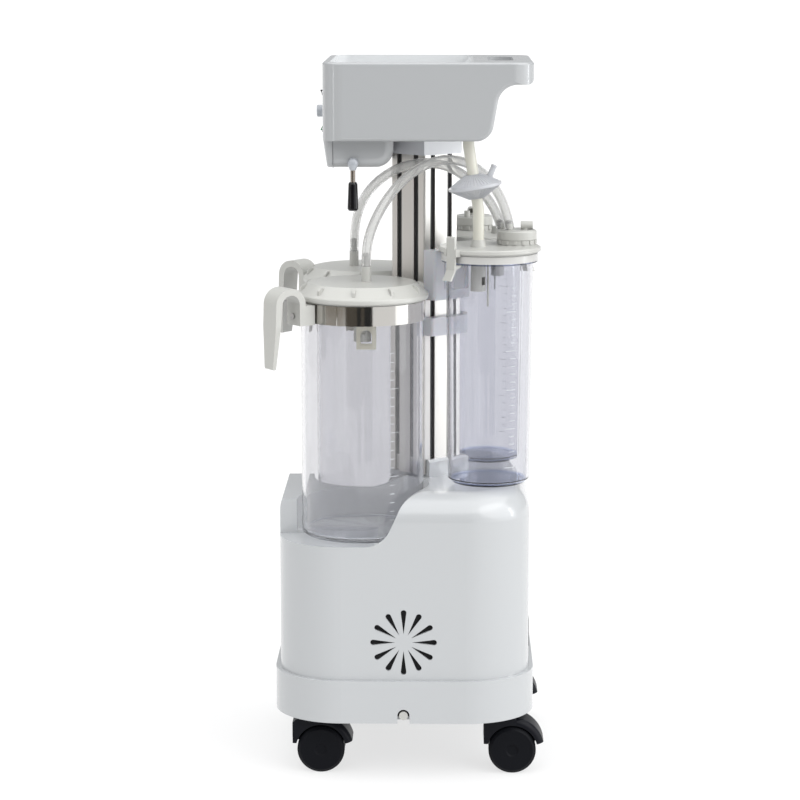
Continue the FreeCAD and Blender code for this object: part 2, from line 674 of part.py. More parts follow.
# ---- tray housing and controls ----
def housing_outline():
    """The housing's side outline, with round corners under the tail and the nose."""
    front, rear = size("housing_front"), size("housing_rear")
    bottom, top, nose = size("housing_bottom"), size("housing_top"), size("nose_bottom")
    return [(front, bottom, 5), (size("tail_bottom"), bottom, 22), (size("nose_root"), nose, 25),
            (rear, nose, 8), (rear, top), (front, top)]


def tray_recess():
    """The tray's hollow, with a sloped rear wall."""
    front = size("housing_front") + size("tray_margin")
    floor, top = size("housing_top") - size("tray_depth"), size("housing_top") + 5
    slope = (size("tray_rear") - size("tray_rear_floor")) / size("tray_depth")
    half = size("housing_half") - size("tray_margin")
    outline = [(front, floor), (size("tray_rear_floor"), floor), (size("tray_rear") + 5 * slope, top),
               (front, top)]
    recess = side_profile(outline, half)
    plan = rounded_plan(front, size("tray_rear") + 5 * slope, half, 18, floor, top)
    recess = recess.common(plan)
    edges = [edge for edge in recess.Edges if edge.BoundBox.ZMax < floor + 0.01]
    return recess.makeFillet(7, edges)


def top_housing():
    """The tray housing: tray on top, hand slot in the nose, hollow for the controls."""
    plan = rounded_plan(size("housing_front"), size("housing_rear"), size("housing_half"),
                        size("housing_corner"),
                        size("box_bottom"), size("housing_top"))
    form = side_profile(housing_outline(), size("housing_half"))
    flank = [edge for edge in form.Edges if edge.BoundBox.YLength < 0.01 and edge.BoundBox.ZMin < size("housing_top") - 5
             and abs(edge.CenterOfMass.x - size("housing_front")) > 1 and edge.BoundBox.ZMax < size("housing_top") - 1]
    form = form.makeFillet(5, flank).common(plan)
    rim = [edge for edge in form.Edges if edge.BoundBox.ZMin > size("housing_top") - 0.01]
    form = form.makeFillet(3, rim)
    form = form.cut(tray_recess())
    wall = size("housing_wall")
    tray_under = size("housing_top") - size("tray_depth") - wall
    room = Part.makeBox(size("tail_bottom") - 22 - size("housing_front") - wall,
                        2 * (size("housing_half") - wall),
                        tray_under - size("housing_bottom") - wall,
                        V(size("housing_front") + wall, wall - size("housing_half"),
                          size("housing_bottom") + wall))
    upright = [edge for edge in room.Edges if abs(edge.tangentAt(edge.FirstParameter).z) > 0.9]
    form = form.cut(room.makeFillet(size("housing_corner") - wall, upright))
    hatch = Part.makeBox(66, 2 * size("box_half") - 20, 20, V(size("housing_front") + 10, 10 - size("box_half"),
                                                             size("housing_bottom") - 5))
    form = form.cut(hatch)
    opening = Part.makeBox(20, 2 * size("panel_half"), size("panel_top") - size("panel_bottom"),
                           V(size("housing_front") - 10, -size("panel_half"), size("panel_bottom")))
    form = form.cut(opening)
    slot_width = size("grip_rear") - size("grip_front")
    slot = rounded_plan(size("grip_front"), size("grip_rear"), size("grip_half"), slot_width / 2 - 0.5, 800,
                        1000)
    form = form.cut(slot)
    form = form.cut(square_post(size("column_side") + 2 * size("seat_gap"), 0, tray_under))
    form = form.cut(Part.makeCylinder(12.5, 12, V(size("port_x"), size("port_y"),
                                                  size("housing_bottom") + wall)))
    return form.cut(Part.makeCylinder(9, 50, V(size("port_x"), size("port_y"), size("housing_bottom") - 20))) \
        .removeSplitter()


node("top_housing", shaped(top_housing()))


def front_panel():
    """The control panel, let into the housing's front, with holes for what it carries."""
    gap, face, wall = size("panel_gap"), size("housing_front"), size("housing_wall")
    low, high, half = size("panel_bottom"), size("panel_top"), size("panel_half")
    plate = Part.makeBox(wall, 2 * (half - gap), high - low - 2 * gap, V(face, gap - half, low + gap))
    flange = Part.makeBox(2, 2 * (half + 4), high - low, V(face + wall, -half - 4, low))
    plate = plate.fuse(flange)
    plate = plate.cut(Part.makeCylinder(size("gauge_radius") - 2.5, 20,
                                        V(face - 10, size("gauge_y"), size("gauge_z")), V(1, 0, 0)))
    plate = plate.cut(Part.makeCylinder(4.2, 20, V(face - 10, size("knob_y"), size("knob_z")), V(1, 0, 0)))
    for height in ("switch_low", "switch_high"):
        plate = plate.cut(Part.makeBox(20, size("rocker_width") + 3, size("rocker_height") + 3,
                                       V(face - 10, size("switch_y") - size("rocker_width") / 2 - 1.5,
                                         size(height) - size("rocker_height") / 2 - 1.5)))
    return plate


node("front_panel", shaped(front_panel()))


def control_box():
    """The cover under the housing's front, with a room for the column's collar."""
    front, rear, low, high = size("housing_front"), size("box_rear"), size("box_bottom"), size("housing_bottom")
    half, wall, bend = size("box_half"), size("box_wall"), 22

    def form(inset, top):
        return side_profile([(front + inset, top), (front + 5 + inset, low + inset, 3),
                             (rear - inset, low + inset, bend - inset), (rear - inset, top)], half - inset)

    def rounded(shape, bend):
        upright = [edge for edge in shape.Edges
                   if edge.BoundBox.ZLength > 5 and edge.BoundBox.YLength < 0.01 and edge.BoundBox.XLength < 8
                   and edge.BoundBox.XMax < front + 12]
        return shape.makeFillet(bend, upright)

    cover = rounded(form(0, high), 12).cut(rounded(form(wall, high + 5), 12 - wall))
    cover = cover.cut(square_post(size("column_side") + 2 * size("collar_wall") + 4, 0, 1000))
    pivot = V(size("lever_x"), -half - 1, size("lever_z"))
    return cover.cut(Part.makeCylinder(3, 20, pivot, V(0, 1, 0)))


node("control_box", shaped(control_box()))
PANEL_BACK = "housing_front+housing_wall"
node("gauge_case", turned([(0, "gauge_depth-2"), (0, "gauge_depth"), ("gauge_radius-3", "gauge_depth"),
                           ("gauge_radius-3", 2), ("gauge_radius", 2), ("gauge_radius", 0),
                           ("gauge_radius-2", "0-1.5"),
                           ("gauge_radius-4", "0-1.5"), ("gauge_radius-4", 9), (1.2, 9),
                           (1.2, "gauge_depth-2")],
                          ("housing_front-2", "gauge_y", "gauge_z"), ALONG_X))
needle_hub = cylinder(3, 1.6, ("housing_front+4", "gauge_y", "gauge_z"), ALONG_X)
needle_pin = cylinder("1.2-run_gap", 6, ("housing_front+4", "gauge_y", "gauge_z"), ALONG_X)
needle_hand = block(0.8, 1.6, "gauge_radius-9", ("housing_front+4.4", "gauge_y-0.8", "gauge_z-gauge_radius+9"))
node("gauge_needle", fuse(needle_hub, needle_pin, needle_hand))
node("gauge_lens", cylinder("gauge_radius-4", 1.5, ("housing_front-2.5", "gauge_y", "gauge_z"), ALONG_X))
node("regulator_knob", turned([(0, "0-knob_reach"), ("knob_radius-1", "0-knob_reach"), ("knob_radius",
                                                                                        "1-knob_reach"),
                               ("knob_radius", "0-0.6"), (3.6, "0-0.6"), (3.6, 14), (0, 14)],
                              ("housing_front", "knob_y", "knob_z"), ALONG_X))
regulator_valve = cut(block(26, 24, 24, (PANEL_BACK + "+2", "knob_y-12", "knob_z-12")),
                      cylinder(3.7, 12, (PANEL_BACK + "+2", "knob_y", "knob_z"), ALONG_X))


def switch_frame(height):
    """The frame of one rocker switch, with a room for the rocker."""
    frame = block(1.2, "rocker_width+5", "rocker_height+5",
                  ("housing_front-1.2", "switch_y-rocker_width/2-2.5", height + "-rocker_height/2-2.5"))
    case = block(16, "rocker_width+2.6", "rocker_height+2.6",
                 ("housing_front", "switch_y-rocker_width/2-1.3", height + "-rocker_height/2-1.3"))
    room = block(13, "rocker_width+0.8", "rocker_height+0.8",
                 ("housing_front-1.2", "switch_y-rocker_width/2-0.4", height + "-rocker_height/2-0.4"))
    return cut(fuse(frame, case), room)


def rocker(height, way):
    """A rocker that rests with one end out: way 1 is the lower end, -1 the upper end."""
    reach = size("rocker_height") / 2
    lift = reach * math.tan(math.radians(size("rocker_tilt")))
    end = way * (reach - 0.8)
    face = [(0.5, 0), (-1.4 - lift, -end), (4.5, -end), (5.5, 0), (4.5, end), (-1.4 + lift * 0.4, end)]
    wire = Part.makePolygon([V(x, 0, z) for x, z in face + face[:1]])
    piece = Part.Face(wire).extrude(V(0, size("rocker_width"), 0))
    pivot = cylinder(1.6, "rocker_width+0.6", ("housing_front+2", "switch_y-rocker_width/2-0.3", height),
                     ALONG_Y)
    return fuse(shaped(piece, (size("housing_front"), size("switch_y") - size("rocker_width") / 2,
                               size(height))),
                pivot)


node("switch_frames", group(switch_frame("switch_low"), switch_frame("switch_high")))
node("power_rocker", rocker("switch_low", 1))
node("mode_rocker", rocker("switch_high", -1))

LEVER_Y = "0-box_half-8"
node("lever_boss", fuse(cylinder(6.8, 4, ("lever_x", "0-box_half-4", "lever_z"), ALONG_Y),
                        cylinder(2.4, 16, ("lever_x", "0-box_half-11.5", "lever_z"), ALONG_Y)))
lever_rod = cylinder("lever_stem_radius", "lever_length-6", ("lever_x", LEVER_Y, "lever_z-lever_length+2"))
lever_eye = cylinder(4.8, 7, ("lever_x", LEVER_Y + "-3.5", "lever_z"), ALONG_Y)
lever_hole = cylinder("2.4+run_gap", 20, ("lever_x", LEVER_Y + "-10", "lever_z"), ALONG_Y)
node("lever_stem", cut(fuse(lever_rod, lever_eye), lever_hole))
node("lever_grip", turned([(0, 2), (0, 0), (5.4, 0), (6.8, 2.4), (5.6, "lever_grip-2.4"),
                           (4.4, "lever_grip"), ("lever_stem_radius", "lever_grip"), ("lever_stem_radius", 2)],
                          ("lever_x", LEVER_Y, "lever_z-lever_length")))

# ---- large jars ----
SIDES = {"right": -1, "left": 1}
NOZZLES = {"right": (-48, -85), "left": (-69, 85)}
LID_TOP = "jar_top+gasket+lid_height"
bands, cages, gaskets = [], [], []
for name, side in SIDES.items():
    jar_at = ("jar_x", signed(side, "jar_y"), 0)
    node("large_jar_" + name, turned([(0, "pocket_floor"), ("jar_radius-3", "pocket_floor"),
                                      ("jar_radius", "pocket_floor+3"), ("jar_radius", "jar_top"),
                                      ("jar_radius-jar_wall", "jar_top"),
                                      ("jar_radius-jar_wall", "pocket_floor+jar_wall+2"),
                                      ("jar_radius-jar_wall-2", "pocket_floor+jar_wall"),
                                      (0, "pocket_floor+jar_wall")],
                                     jar_at))
    lid = turned([(0, LID_TOP), ("lid_plateau", LID_TOP), ("lid_radius-3", "jar_top+gasket+lid_rim+3"),
                  ("lid_radius", "jar_top+gasket+lid_rim"), ("lid_radius", "jar_top+gasket"),
                  ("jar_radius-jar_wall-6", "jar_top+gasket"), ("lid_plateau-3", LID_TOP + "-lid_wall"),
                  (0, LID_TOP + "-lid_wall")], jar_at)
    spot = (NOZZLES[name][0], NOZZLES[name][1], LID_TOP + "-lid_wall")
    nozzle = cylinder("nozzle_radius", "nozzle_height+lid_wall", spot)
    passage = cylinder("nozzle_bore", 60, (spot[0], spot[1], LID_TOP + "-2*lid_wall"))
    node("large_lid_" + name, cut(fuse(lid, nozzle), passage))
    bands.append(turned([("jar_radius+band_gap", "jar_top-band_height"),
                         ("jar_radius+band_gap+band_thickness", "jar_top-band_height"),
                         ("jar_radius+band_gap+band_thickness", "jar_top"), ("jar_radius+band_gap", "jar_top")],
                        jar_at))
    gaskets.append(turned([("jar_radius-jar_wall-1", "jar_top"), ("jar_radius", "jar_top"),
                           ("jar_radius", "jar_top+gasket"), ("jar_radius-jar_wall-1", "jar_top+gasket")],
                          jar_at))
    cage = turned([("cage_radius-cage_wall", "cage_bottom+cage_wall"), (3, "cage_bottom+cage_wall"),
                   (3, "cage_bottom"),
                   ("cage_radius", "cage_bottom"), ("cage_radius", LID_TOP + "-lid_wall"),
                   ("cage_radius-cage_wall", LID_TOP + "-lid_wall")], (jar_at[0], jar_at[1], 0))
    windows = [block("3*cage_radius", 7, 12, ("jar_x-1.5*cage_radius", jar_at[1] + "-3.5", "cage_bottom+10")),
               block(7, "3*cage_radius", 12, ("jar_x-3.5", jar_at[1] + "-1.5*cage_radius", "cage_bottom+10"))]
    cages.append(cut(cage, *windows))
    node("large_float_" + name, turned([(0, 0), ("cage_radius-cage_wall-2.4", 0), ("cage_radius-cage_wall-0.4",
                                                                                   2),
                                        ("cage_radius-cage_wall-0.4", 13), (2.5, 17), (0, 17)],
                                       (jar_at[0], jar_at[1], "cage_bottom+cage_wall")))
node("clamp_bands", group(*bands))


def jar_handle(side):
    """One large jar's handle: a block on the band, an arch and a grip leg, as one moulding."""
    inner, block_out, reach = size("handle_in"), size("handle_block"), size("handle_reach")
    thick, tip, top, width = size("handle_thick"), size("handle_tip"), size("handle_top"), size("handle_width")
    outer_radius = (reach - block_out + thick) / 2 - 0.5
    inner_radius = (reach - block_out - thick) / 2 - 0.5
    low = size("jar_top") - size("band_height") - 1
    leg_in = block_out - thick
    outline = [(inner, low), (block_out, low), (block_out, top - thick, inner_radius),
               (block_out + 2 * inner_radius, top - thick, inner_radius), (reach - 1.5, tip + 1, 1),
               (reach + 3, tip, 2),
               (reach, top, outer_radius), (leg_in, top, outer_radius), (leg_in, size("jar_top") - 0.5),
               (inner, size("jar_top") - 0.5)]
    piece = side_profile(outline, width / 2)
    sides = [V(0, -width * 0.32, tip - 1), V(0, -width / 2, low), V(0, -width / 2, top + 20),
             V(0, width / 2, top + 20), V(0, width / 2, low), V(0, width * 0.32, tip - 1)]
    front_view = Part.Face(Part.makePolygon(sides + sides[:1])).extrude(V(300, 0, 0))
    piece = piece.common(front_view)
    band = Part.makeCylinder(size("jar_radius") + size("band_gap") + size("band_thickness") + size("seat_gap"),
                             100,
                             V(0, 0, size("jar_top") - 60))
    piece = piece.cut(band)
    return shaped(piece, (size("jar_x"), side * size("jar_y"), 0), (180 - side * size("handle_turn"), 0, 0))


node("jar_handles", group(jar_handle(-1), jar_handle(1)))

# ---- small jars, hung on the column's rear faces ----
# Each is made in the frame of its column face: +X points out from the column's axis.
JAR_TURNS = {"right": (-45, -1), "left": (45, 1)}
SMALL_AT = ("small_out", 0, 0)


def on_face(thing, turn):
    """Turns a finished piece about the column's axis to its face."""
    holder = doc.addObject("Part::Compound", "OnFace")
    holder.Links = [thing]
    return place(holder, ("column_x", 0, 0), (turn, 0, 0))


def small_jar():
    """The small jar with its rim, and the tongue that hangs it on its bracket."""
    body = turned([(0, "small_bottom"), ("small_foot_radius-5", "small_bottom"),
                   ("small_foot_radius", "small_bottom+5"),
                   ("small_radius", "small_rim_bottom"), ("small_rim_radius", "small_rim_bottom"),
                   ("small_rim_radius", "small_top"), (0, "small_top")], SMALL_AT)
    room = turned([(0, "small_bottom+small_wall"), ("small_foot_radius-small_wall-3",
                                                    "small_bottom+small_wall"),
                   ("small_foot_radius-small_wall", "small_bottom+small_wall+3"),
                   ("small_radius-small_wall", "small_rim_bottom"), ("small_radius-small_wall", "small_top+1"),
                   (0, "small_top+1")], SMALL_AT)
    tongue_start = "column_side/2+bracket_depth"
    tongue = block("small_out-small_radius+4-column_side/2-bracket_depth", 28, 44,
                   (tongue_start, -14, "small_rim_bottom-40"))
    return cut(fuse(body, tongue), room)


LID_LOW = "small_top+gasket"
LID_HIGH = "small_top+gasket+small_lid_thick"


def small_lid():
    """The small jar's lid: flange, hose port and the ears of the two latches."""
    flange = turned([(0, LID_LOW), ("small_lid_radius-1", LID_LOW), ("small_lid_radius", LID_LOW + "+1"),
                     ("small_lid_radius", LID_HIGH + "-1.5"), ("small_lid_radius-2", LID_HIGH), (0, LID_HIGH)],
                    SMALL_AT)
    port = cone(10, 8, "port_height", ("small_out", "-port_side", LID_HIGH))
    barb = cylinder("cream_bore-0.4", "barb_height", ("small_out", "-port_side", LID_HIGH + "+port_height"))
    ears = []
    pins = []
    for side in (-1, 1):
        start = "small_lid_radius-2" if side > 0 else "-small_lid_radius-6"
        for offset in ("-latch_width/2-3.4", "+latch_width/2+0.4"):
            ears.append(block(3, 8, 9, ("small_out" + offset, start, "latch_pivot-3.5")))
        pivot_y = ("" if side > 0 else "-") + "latch_radius" + ("+" if side > 0 else "-") + "latch_thick/2"
        pins.append(cylinder("latch_pin+run_gap", 40, ("small_out-20", pivot_y, "latch_pivot"), ALONG_X))
    passages = [cylinder("nozzle_bore", 60, ("small_out", "-port_side", LID_LOW + "-5")),
                cylinder("nozzle_bore", 60, ("small_out+cap_out", "cap_side", LID_LOW + "-5"))]
    return cut(fuse(flange, port, barb, *ears), *passages, *pins)


CAP_BARBS = [(108.2, 30.4), (123.0, 28.3)]


def small_cap():
    """The round cap on the small lid: two upright barbs and a side outlet."""
    drum = turned([(0, LID_HIGH), ("cap_radius-1", LID_HIGH), ("cap_radius-1", LID_HIGH + "+6"),
                   ("cap_radius", LID_HIGH + "+7"), ("cap_radius", "cap_top-1.5"),
                   ("cap_radius-1.5", "cap_top"),
                   (0, "cap_top")], ("small_out+cap_out", "cap_side", 0))
    barbs = [cylinder("barb_radius", "barb_height-3", (out, across, "cap_top")) for out, across in CAP_BARBS]
    outlet = cylinder(5, 15, ("small_out+cap_out+1", "cap_side+6", "cap_top+5.5"), (45, 90, 0))
    foot = cylinder(4, 6, ("small_out+cap_out+5", "cap_side+10", "cap_top-1"))
    bores = [cylinder("nozzle_bore", 30, (out, across, "cap_top-8")) for out, across in CAP_BARBS]
    bores.append(cylinder("nozzle_bore+0.6", 10, ("small_out+cap_out+1", "cap_side+6", "cap_top+5.5"),
                          (45, 90, 0)))
    return cut(fuse(drum, *barbs, outlet, foot), *bores)


def small_cage():
    """The small jar's float cage under the hose port, with its guide rod."""
    cage = turned([(3, "small_cage_bottom"), ("small_cage_radius", "small_cage_bottom"),
                   ("small_cage_radius", LID_LOW),
                   ("small_cage_radius-cage_wall", LID_LOW), ("small_cage_radius-cage_wall",
                                                              "small_cage_bottom+cage_wall"),
                   (3, "small_cage_bottom+cage_wall")], ("small_out", "-port_side", 0))
    window = block("3*small_cage_radius", 6, 10,
                   ("small_out-1.5*small_cage_radius", "-port_side-3", "small_cage_bottom+8"))
    rod = cylinder(1.3, LID_LOW + "-small_cage_bottom+20", ("small_out+6", "-port_side+11",
                                                            "small_cage_bottom-20"))
    return group(cut(cage, window), rod)


def latch(side):
    """One lid latch on its pin: hooks under the jar's rim, pressed at the top to open."""
    near, thick, width = size("latch_radius"), size("latch_thick"), size("latch_width")
    low, high = size("latch_bottom"), size("latch_top")
    hook_top = size("small_rim_bottom") - 0.6
    hook_in = size("small_radius") + 2.6
    outline = [(near, hook_top), (hook_in, hook_top), (hook_in, hook_top - 2), (near, hook_top - 5),
               (near, low + 12), (near + 7, low), (near + 7 + thick, low), (near + thick, low + 13),
               (near + thick, high - 2), (near + thick - 1, high), (near + 0.5, high), (near, high - 1)]
    edges = Part.makePolygon([V(0, y, z) for y, z in outline + outline[:1]])
    piece = Part.Face(edges).extrude(V(width, 0, 0))
    piece.translate(V(size("small_out") - width / 2, 0, 0))
    pin = Part.makeCylinder(size("latch_pin"), width + 6.8,
                            V(size("small_out") - width / 2 - 3.4, near + thick / 2, size("latch_pivot")),
                            V(1, 0, 0))
    piece = piece.fuse(pin)
    if side < 0:
        piece = piece.mirror(V(0, 0, 0), V(0, 1, 0))
    return piece


caps = []
for name, (turn, side) in JAR_TURNS.items():
    node("small_jar_" + name, on_face(small_jar(), turn))
    node("small_lid_" + name, on_face(small_lid(), turn))
    caps.append(on_face(small_cap(), turn))
    cages.append(on_face(small_cage(), turn))
    gaskets.append(on_face(turned([("small_radius-small_wall+0.5", "small_top"),
                                   ("small_rim_radius-1", "small_top"),
                                   ("small_rim_radius-1", LID_LOW), ("small_radius-small_wall+0.5", LID_LOW)],
                                  SMALL_AT), turn))
    for end, way in (("front", 1), ("rear", -1)):
        node("latch_%s_%s" % (name, end), shaped(latch(way * side), (size("column_x"), 0, 0), (turn, 0, 0)))
node("small_lid_caps", group(*caps))
node("float_cages", group(*cages))
node("lid_gaskets", group(*gaskets))

# ---- screws that show ----
screws = []
for name, side in SIDES.items():
    angle = math.radians(180 - side * size("handle_turn"))
    out = V(math.cos(angle), math.sin(angle), 0)
    screw_at = V(size("jar_x"), side * size("jar_y"), size("jar_top") - 14) + out * size("handle_block")
    screws.append(shaped(Part.makeCylinder(3.6, 2, screw_at, out)))
for across in (-1, 1):
    for height in ("panel_bottom+7", "panel_top-7"):
        screws.append(cylinder(2.6, 1.4, ("housing_front-1.4", ("-" if across < 0 else "") + "panel_half"
                                          + ("+6" if across < 0 else "-6"), height), ALONG_X))
node("screws", group(*screws))

# ---- suction line: port, disc filter and silicone hoses ----
suction_port = turned([("nozzle_bore", "0-5"), ("cream_bore-0.4", "0-5"), ("cream_bore-0.4", 0), (8.7, 0),
                       (8.7, "housing_wall"), (12, "housing_wall"), (12, "housing_wall+3"),
                       ("nozzle_bore", "housing_wall+3")], ("port_x", "port_y", "housing_bottom"))
node("air_fittings", group(regulator_valve, suction_port))
node("disc_filter", turned([("nozzle_bore", "0-filter_thick/2-8"), ("cream_bore-0.4", "0-filter_thick/2-8"),
                            ("cream_bore-0.4", "0-filter_thick/2"), (9, "0-filter_thick/2"),
                            ("filter_radius-2", "0-2.6"), ("filter_radius", "0-1.8"), ("filter_radius", 1.8),
                            ("filter_radius-2", 2.6), (9, "filter_thick/2"),
                            ("cream_bore-0.4", "filter_thick/2"),
                            ("cream_bore-0.4", "filter_thick/2+8"), ("nozzle_bore", "filter_thick/2+8")],
                           ("filter_x", "port_y", "filter_z"), (0, -9, 0)))


def hose(points, radius, bore):
    """A hose along straight runs joined by the largest tangent arcs; prints its arcs and length."""
    points = [V(*point) for point in points]
    edges, radii, length = [], [], 0
    start = points[0]
    for before, corner, after in zip(points, points[1:], points[2:]):
        back, ahead = before - corner, after - corner
        trim = 0.45 * min(back.Length, ahead.Length)
        half_turn = (math.pi - back.getAngle(ahead)) / 2
        first, last = corner + back.normalize() * trim, corner + ahead.normalize() * trim
        bend = trim / math.tan(half_turn)
        inward = (first + last - corner * 2).normalize()
        middle = corner + inward * (bend / math.cos(half_turn) - bend)
        edges += [Part.LineSegment(start, first).toShape(), Part.Arc(first, middle, last).toShape()]
        radii.append(round(bend, 1))
        start = last
    edges.append(Part.LineSegment(start, points[-1]).toShape())
    path = Part.Wire(edges)
    way = points[1] - points[0]
    outer, inner = [path.makePipeShell([Part.Wire(Part.Circle(points[0], way, ring).toShape())], True, False)
                    for ring in (radius, bore)]
    tube = outer.cut(inner)
    section = math.pi * (radius ** 2 - bore ** 2)
    print("hose length %.1f, radii %s, volume %.0f of %.0f" % (path.Length, radii, tube.Volume,
                                                               section * path.Length))
    return tube


tilt = math.radians(size("filter_tilt"))
filter_at = V(size("filter_x"), size("port_y"), size("filter_z"))
filter_axis = V(-math.sin(tilt), 0, math.cos(tilt))
filter_half = size("filter_thick") / 2
port_turn = math.radians(JAR_TURNS["right"][0])
lid_port = V(size("column_x") + size("small_out") * math.cos(port_turn) + size("port_side") * math.sin(port_turn),
             size("small_out") * math.sin(port_turn) - size("port_side") * math.cos(port_turn),
             size("small_top") + size("gasket") + size("small_lid_thick") + size("port_height"))
filter_top = filter_at + filter_axis * filter_half
filter_foot = filter_at - filter_axis * filter_half
housing_port = V(size("port_x"), size("port_y"), size("housing_bottom"))
upper_bend = V(housing_port.x, housing_port.y,
               filter_top.z + (filter_top.x - housing_port.x) / math.tan(tilt))
lower_bend = V(lid_port.x, lid_port.y, filter_foot.z - (lid_port.x - filter_foot.x) / math.tan(tilt))
node("filter_hoses", group(
    shaped(hose([housing_port, upper_bend, filter_top], size("cream_radius"), size("cream_bore"))),
    shaped(hose([filter_foot, lower_bend, lid_port], size("cream_radius"), size("cream_bore")))))

# Routes of the two clear hoses, from a large lid's nozzle over to the right small jar's cap.
RIGHT_ROUTE = [(-48, -85, 639), (-48, -85, 663), (-40, -84.5, 691), (-25, -83.5, 719.5), (-4, -82, 745.5),
               (21.5, -79.5, 764), (48.5, -75, 772.5), (75, -68, 768.5), (98, -61, 754), (115.5, -59, 731),
               (127, -62.5, 706.5), (131, -67, 684)]
LEFT_ROUTE = [(-69, 85, 639), (-68.5, 84.5, 662), (-65, 75, 686), (-57.5, 56, 707), (-47, 31.5, 724.5),
              (-33.5, 6.5, 739.5), (-17.5, -17, 752), (1.5, -37, 761.5), (23.5, -53, 766.5), (47.5, -60.5, 764),
              (70, -60.5, 753.5), (89, -56, 738), (104, -52, 720.5), (115, -52, 702), (121, -54.5, 684)]
for name, route in (("right", RIGHT_ROUTE), ("left", LEFT_ROUTE)):
    node("clear_hose_" + name, shaped(hose(route, size("hose_radius"), size("hose_bore"))))

# ---- check everything, then write one file for each sub-part ----
doc.recompute()
for thing in doc.Objects:
    if "Invalid" in thing.State or "Error" in thing.State:
        raise SystemExit("not built: %s (%s)" % (thing.Label, thing.State))
for thing in finished:
    if thing.Shape.isNull() or not thing.Shape.isValid():
        raise SystemExit("bad shape: " + thing.Label)
os.makedirs("parts", exist_ok=True)
for thing in finished:
    thing.Shape.exportStep("parts/%s.step" % thing.Label)
print("%d sub-parts written" % len(finished))
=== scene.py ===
# %% [markdown]
# A suction pump for a hospital ward: a moulded base on castors, an aluminium column, two pairs of
# clear jars and a control housing with a tray on top. The engineered model already gives every rigid
# piece its true size, so this file adds the hoses, the fine details and all the finishes.

# %% Load the engineered model
import bmesh
import bpy
import math
from mathutils import Euler, Matrix, Vector


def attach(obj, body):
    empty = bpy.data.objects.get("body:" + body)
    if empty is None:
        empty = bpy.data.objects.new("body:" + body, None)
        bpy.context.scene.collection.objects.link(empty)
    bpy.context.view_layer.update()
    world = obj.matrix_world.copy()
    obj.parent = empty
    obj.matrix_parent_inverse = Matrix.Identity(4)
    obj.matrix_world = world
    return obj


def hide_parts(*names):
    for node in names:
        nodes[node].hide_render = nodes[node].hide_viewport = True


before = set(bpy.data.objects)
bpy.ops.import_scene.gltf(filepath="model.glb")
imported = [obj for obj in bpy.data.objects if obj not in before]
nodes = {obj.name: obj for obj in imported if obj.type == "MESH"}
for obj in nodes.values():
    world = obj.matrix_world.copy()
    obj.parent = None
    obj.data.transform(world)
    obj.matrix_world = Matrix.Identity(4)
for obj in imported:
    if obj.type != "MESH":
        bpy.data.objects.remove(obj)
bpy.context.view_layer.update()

# %% [markdown]
# The camera stands a little above the tray and some way off, with a long lens, so that the sides of
# the pump look almost parallel. It turns slightly towards the control end.

# %% Camera
LENS_LENGTH, SENSOR_WIDTH = 119.2, 36.0
CAMERA_PLACE = (0.0515, -3.370, 1.028)
LOOK_DOWN, LOOK_ROUND = 9.64, 1.0
lens = bpy.data.cameras.new("camera_lens")
lens.lens = LENS_LENGTH
lens.sensor_width = SENSOR_WIDTH
camera = bpy.data.objects.new("camera", lens)
camera.location = CAMERA_PLACE
camera.rotation_euler = (math.radians(90 - LOOK_DOWN), 0.0, math.radians(LOOK_ROUND))
bpy.context.scene.collection.objects.link(camera)
bpy.context.scene.camera = camera
print("camera lens", lens.lens)

# %% [markdown]
# Two clear hoses carry the air from the large jars to the cap of one small jar. A hose is a round
# tube along one smooth curve. The hollow inside it matters in a clear tube, so a second, narrower
# tube with its faces turned inwards lies along the same line.

# %% Hose routes
RIGHT_ROUTE = [(-0.048, -0.085, 0.639), (-0.048, -0.085, 0.663), (-0.04, -0.0845, 0.691),
               (-0.025, -0.0835, 0.7195), (-0.004, -0.082, 0.7455), (0.0215, -0.0795, 0.764),
               (0.0485, -0.075, 0.7725), (0.075, -0.068, 0.7685), (0.098, -0.061, 0.754),
               (0.1155, -0.059, 0.731), (0.127, -0.0625, 0.7065), (0.131, -0.067, 0.684)]
LEFT_ROUTE = [(-0.069, 0.085, 0.639), (-0.0685, 0.0845, 0.662), (-0.065, 0.075, 0.686),
              (-0.0575, 0.056, 0.707), (-0.047, 0.0315, 0.7245), (-0.0335, 0.0065, 0.7395),
              (-0.0175, -0.017, 0.752), (0.0015, -0.037, 0.7615), (0.0235, -0.053, 0.7665),
              (0.0475, -0.0605, 0.764), (0.07, -0.0605, 0.7535), (0.089, -0.056, 0.738),
              (0.104, -0.052, 0.7205), (0.115, -0.052, 0.702), (0.121, -0.0545, 0.684)]
HOSE_RADIUS = 0.006
HOSE_BORE = 0.004


def smooth_line(name, route, radius):
    """A round tube along a smooth curve through a route's bends."""
    curve = bpy.data.curves.new(name, "CURVE")
    curve.dimensions = "3D"
    spline = curve.splines.new("NURBS")
    spline.points.add(len(route) - 1)
    for point, place in zip(spline.points, route):
        point.co = (*place, 1.0)
    spline.order_u = 3
    spline.use_endpoint_u = True
    spline.resolution_u = 10
    curve.bevel_depth = radius
    curve.bevel_resolution = 8
    piece = bpy.data.objects.new(name, curve)
    bpy.context.scene.collection.objects.link(piece)
    return piece


def centre_points(route):
    """Points along the smooth curve of a route."""
    piece = smooth_line("measuring_line", route, 0.0)
    mesh = bpy.data.meshes.new_from_object(piece)
    points = [vertex.co.copy() for vertex in mesh.vertices]
    bpy.data.objects.remove(piece)
    return points


def line_length(points):
    """The length of a run of points."""
    return sum((b - a).length for a, b in zip(points, points[1:]))


# %% [markdown]
# Most extra pieces are built vertex by vertex. Two small builders cover them: a profile turned round
# an axis, and an outline pushed through a thickness.

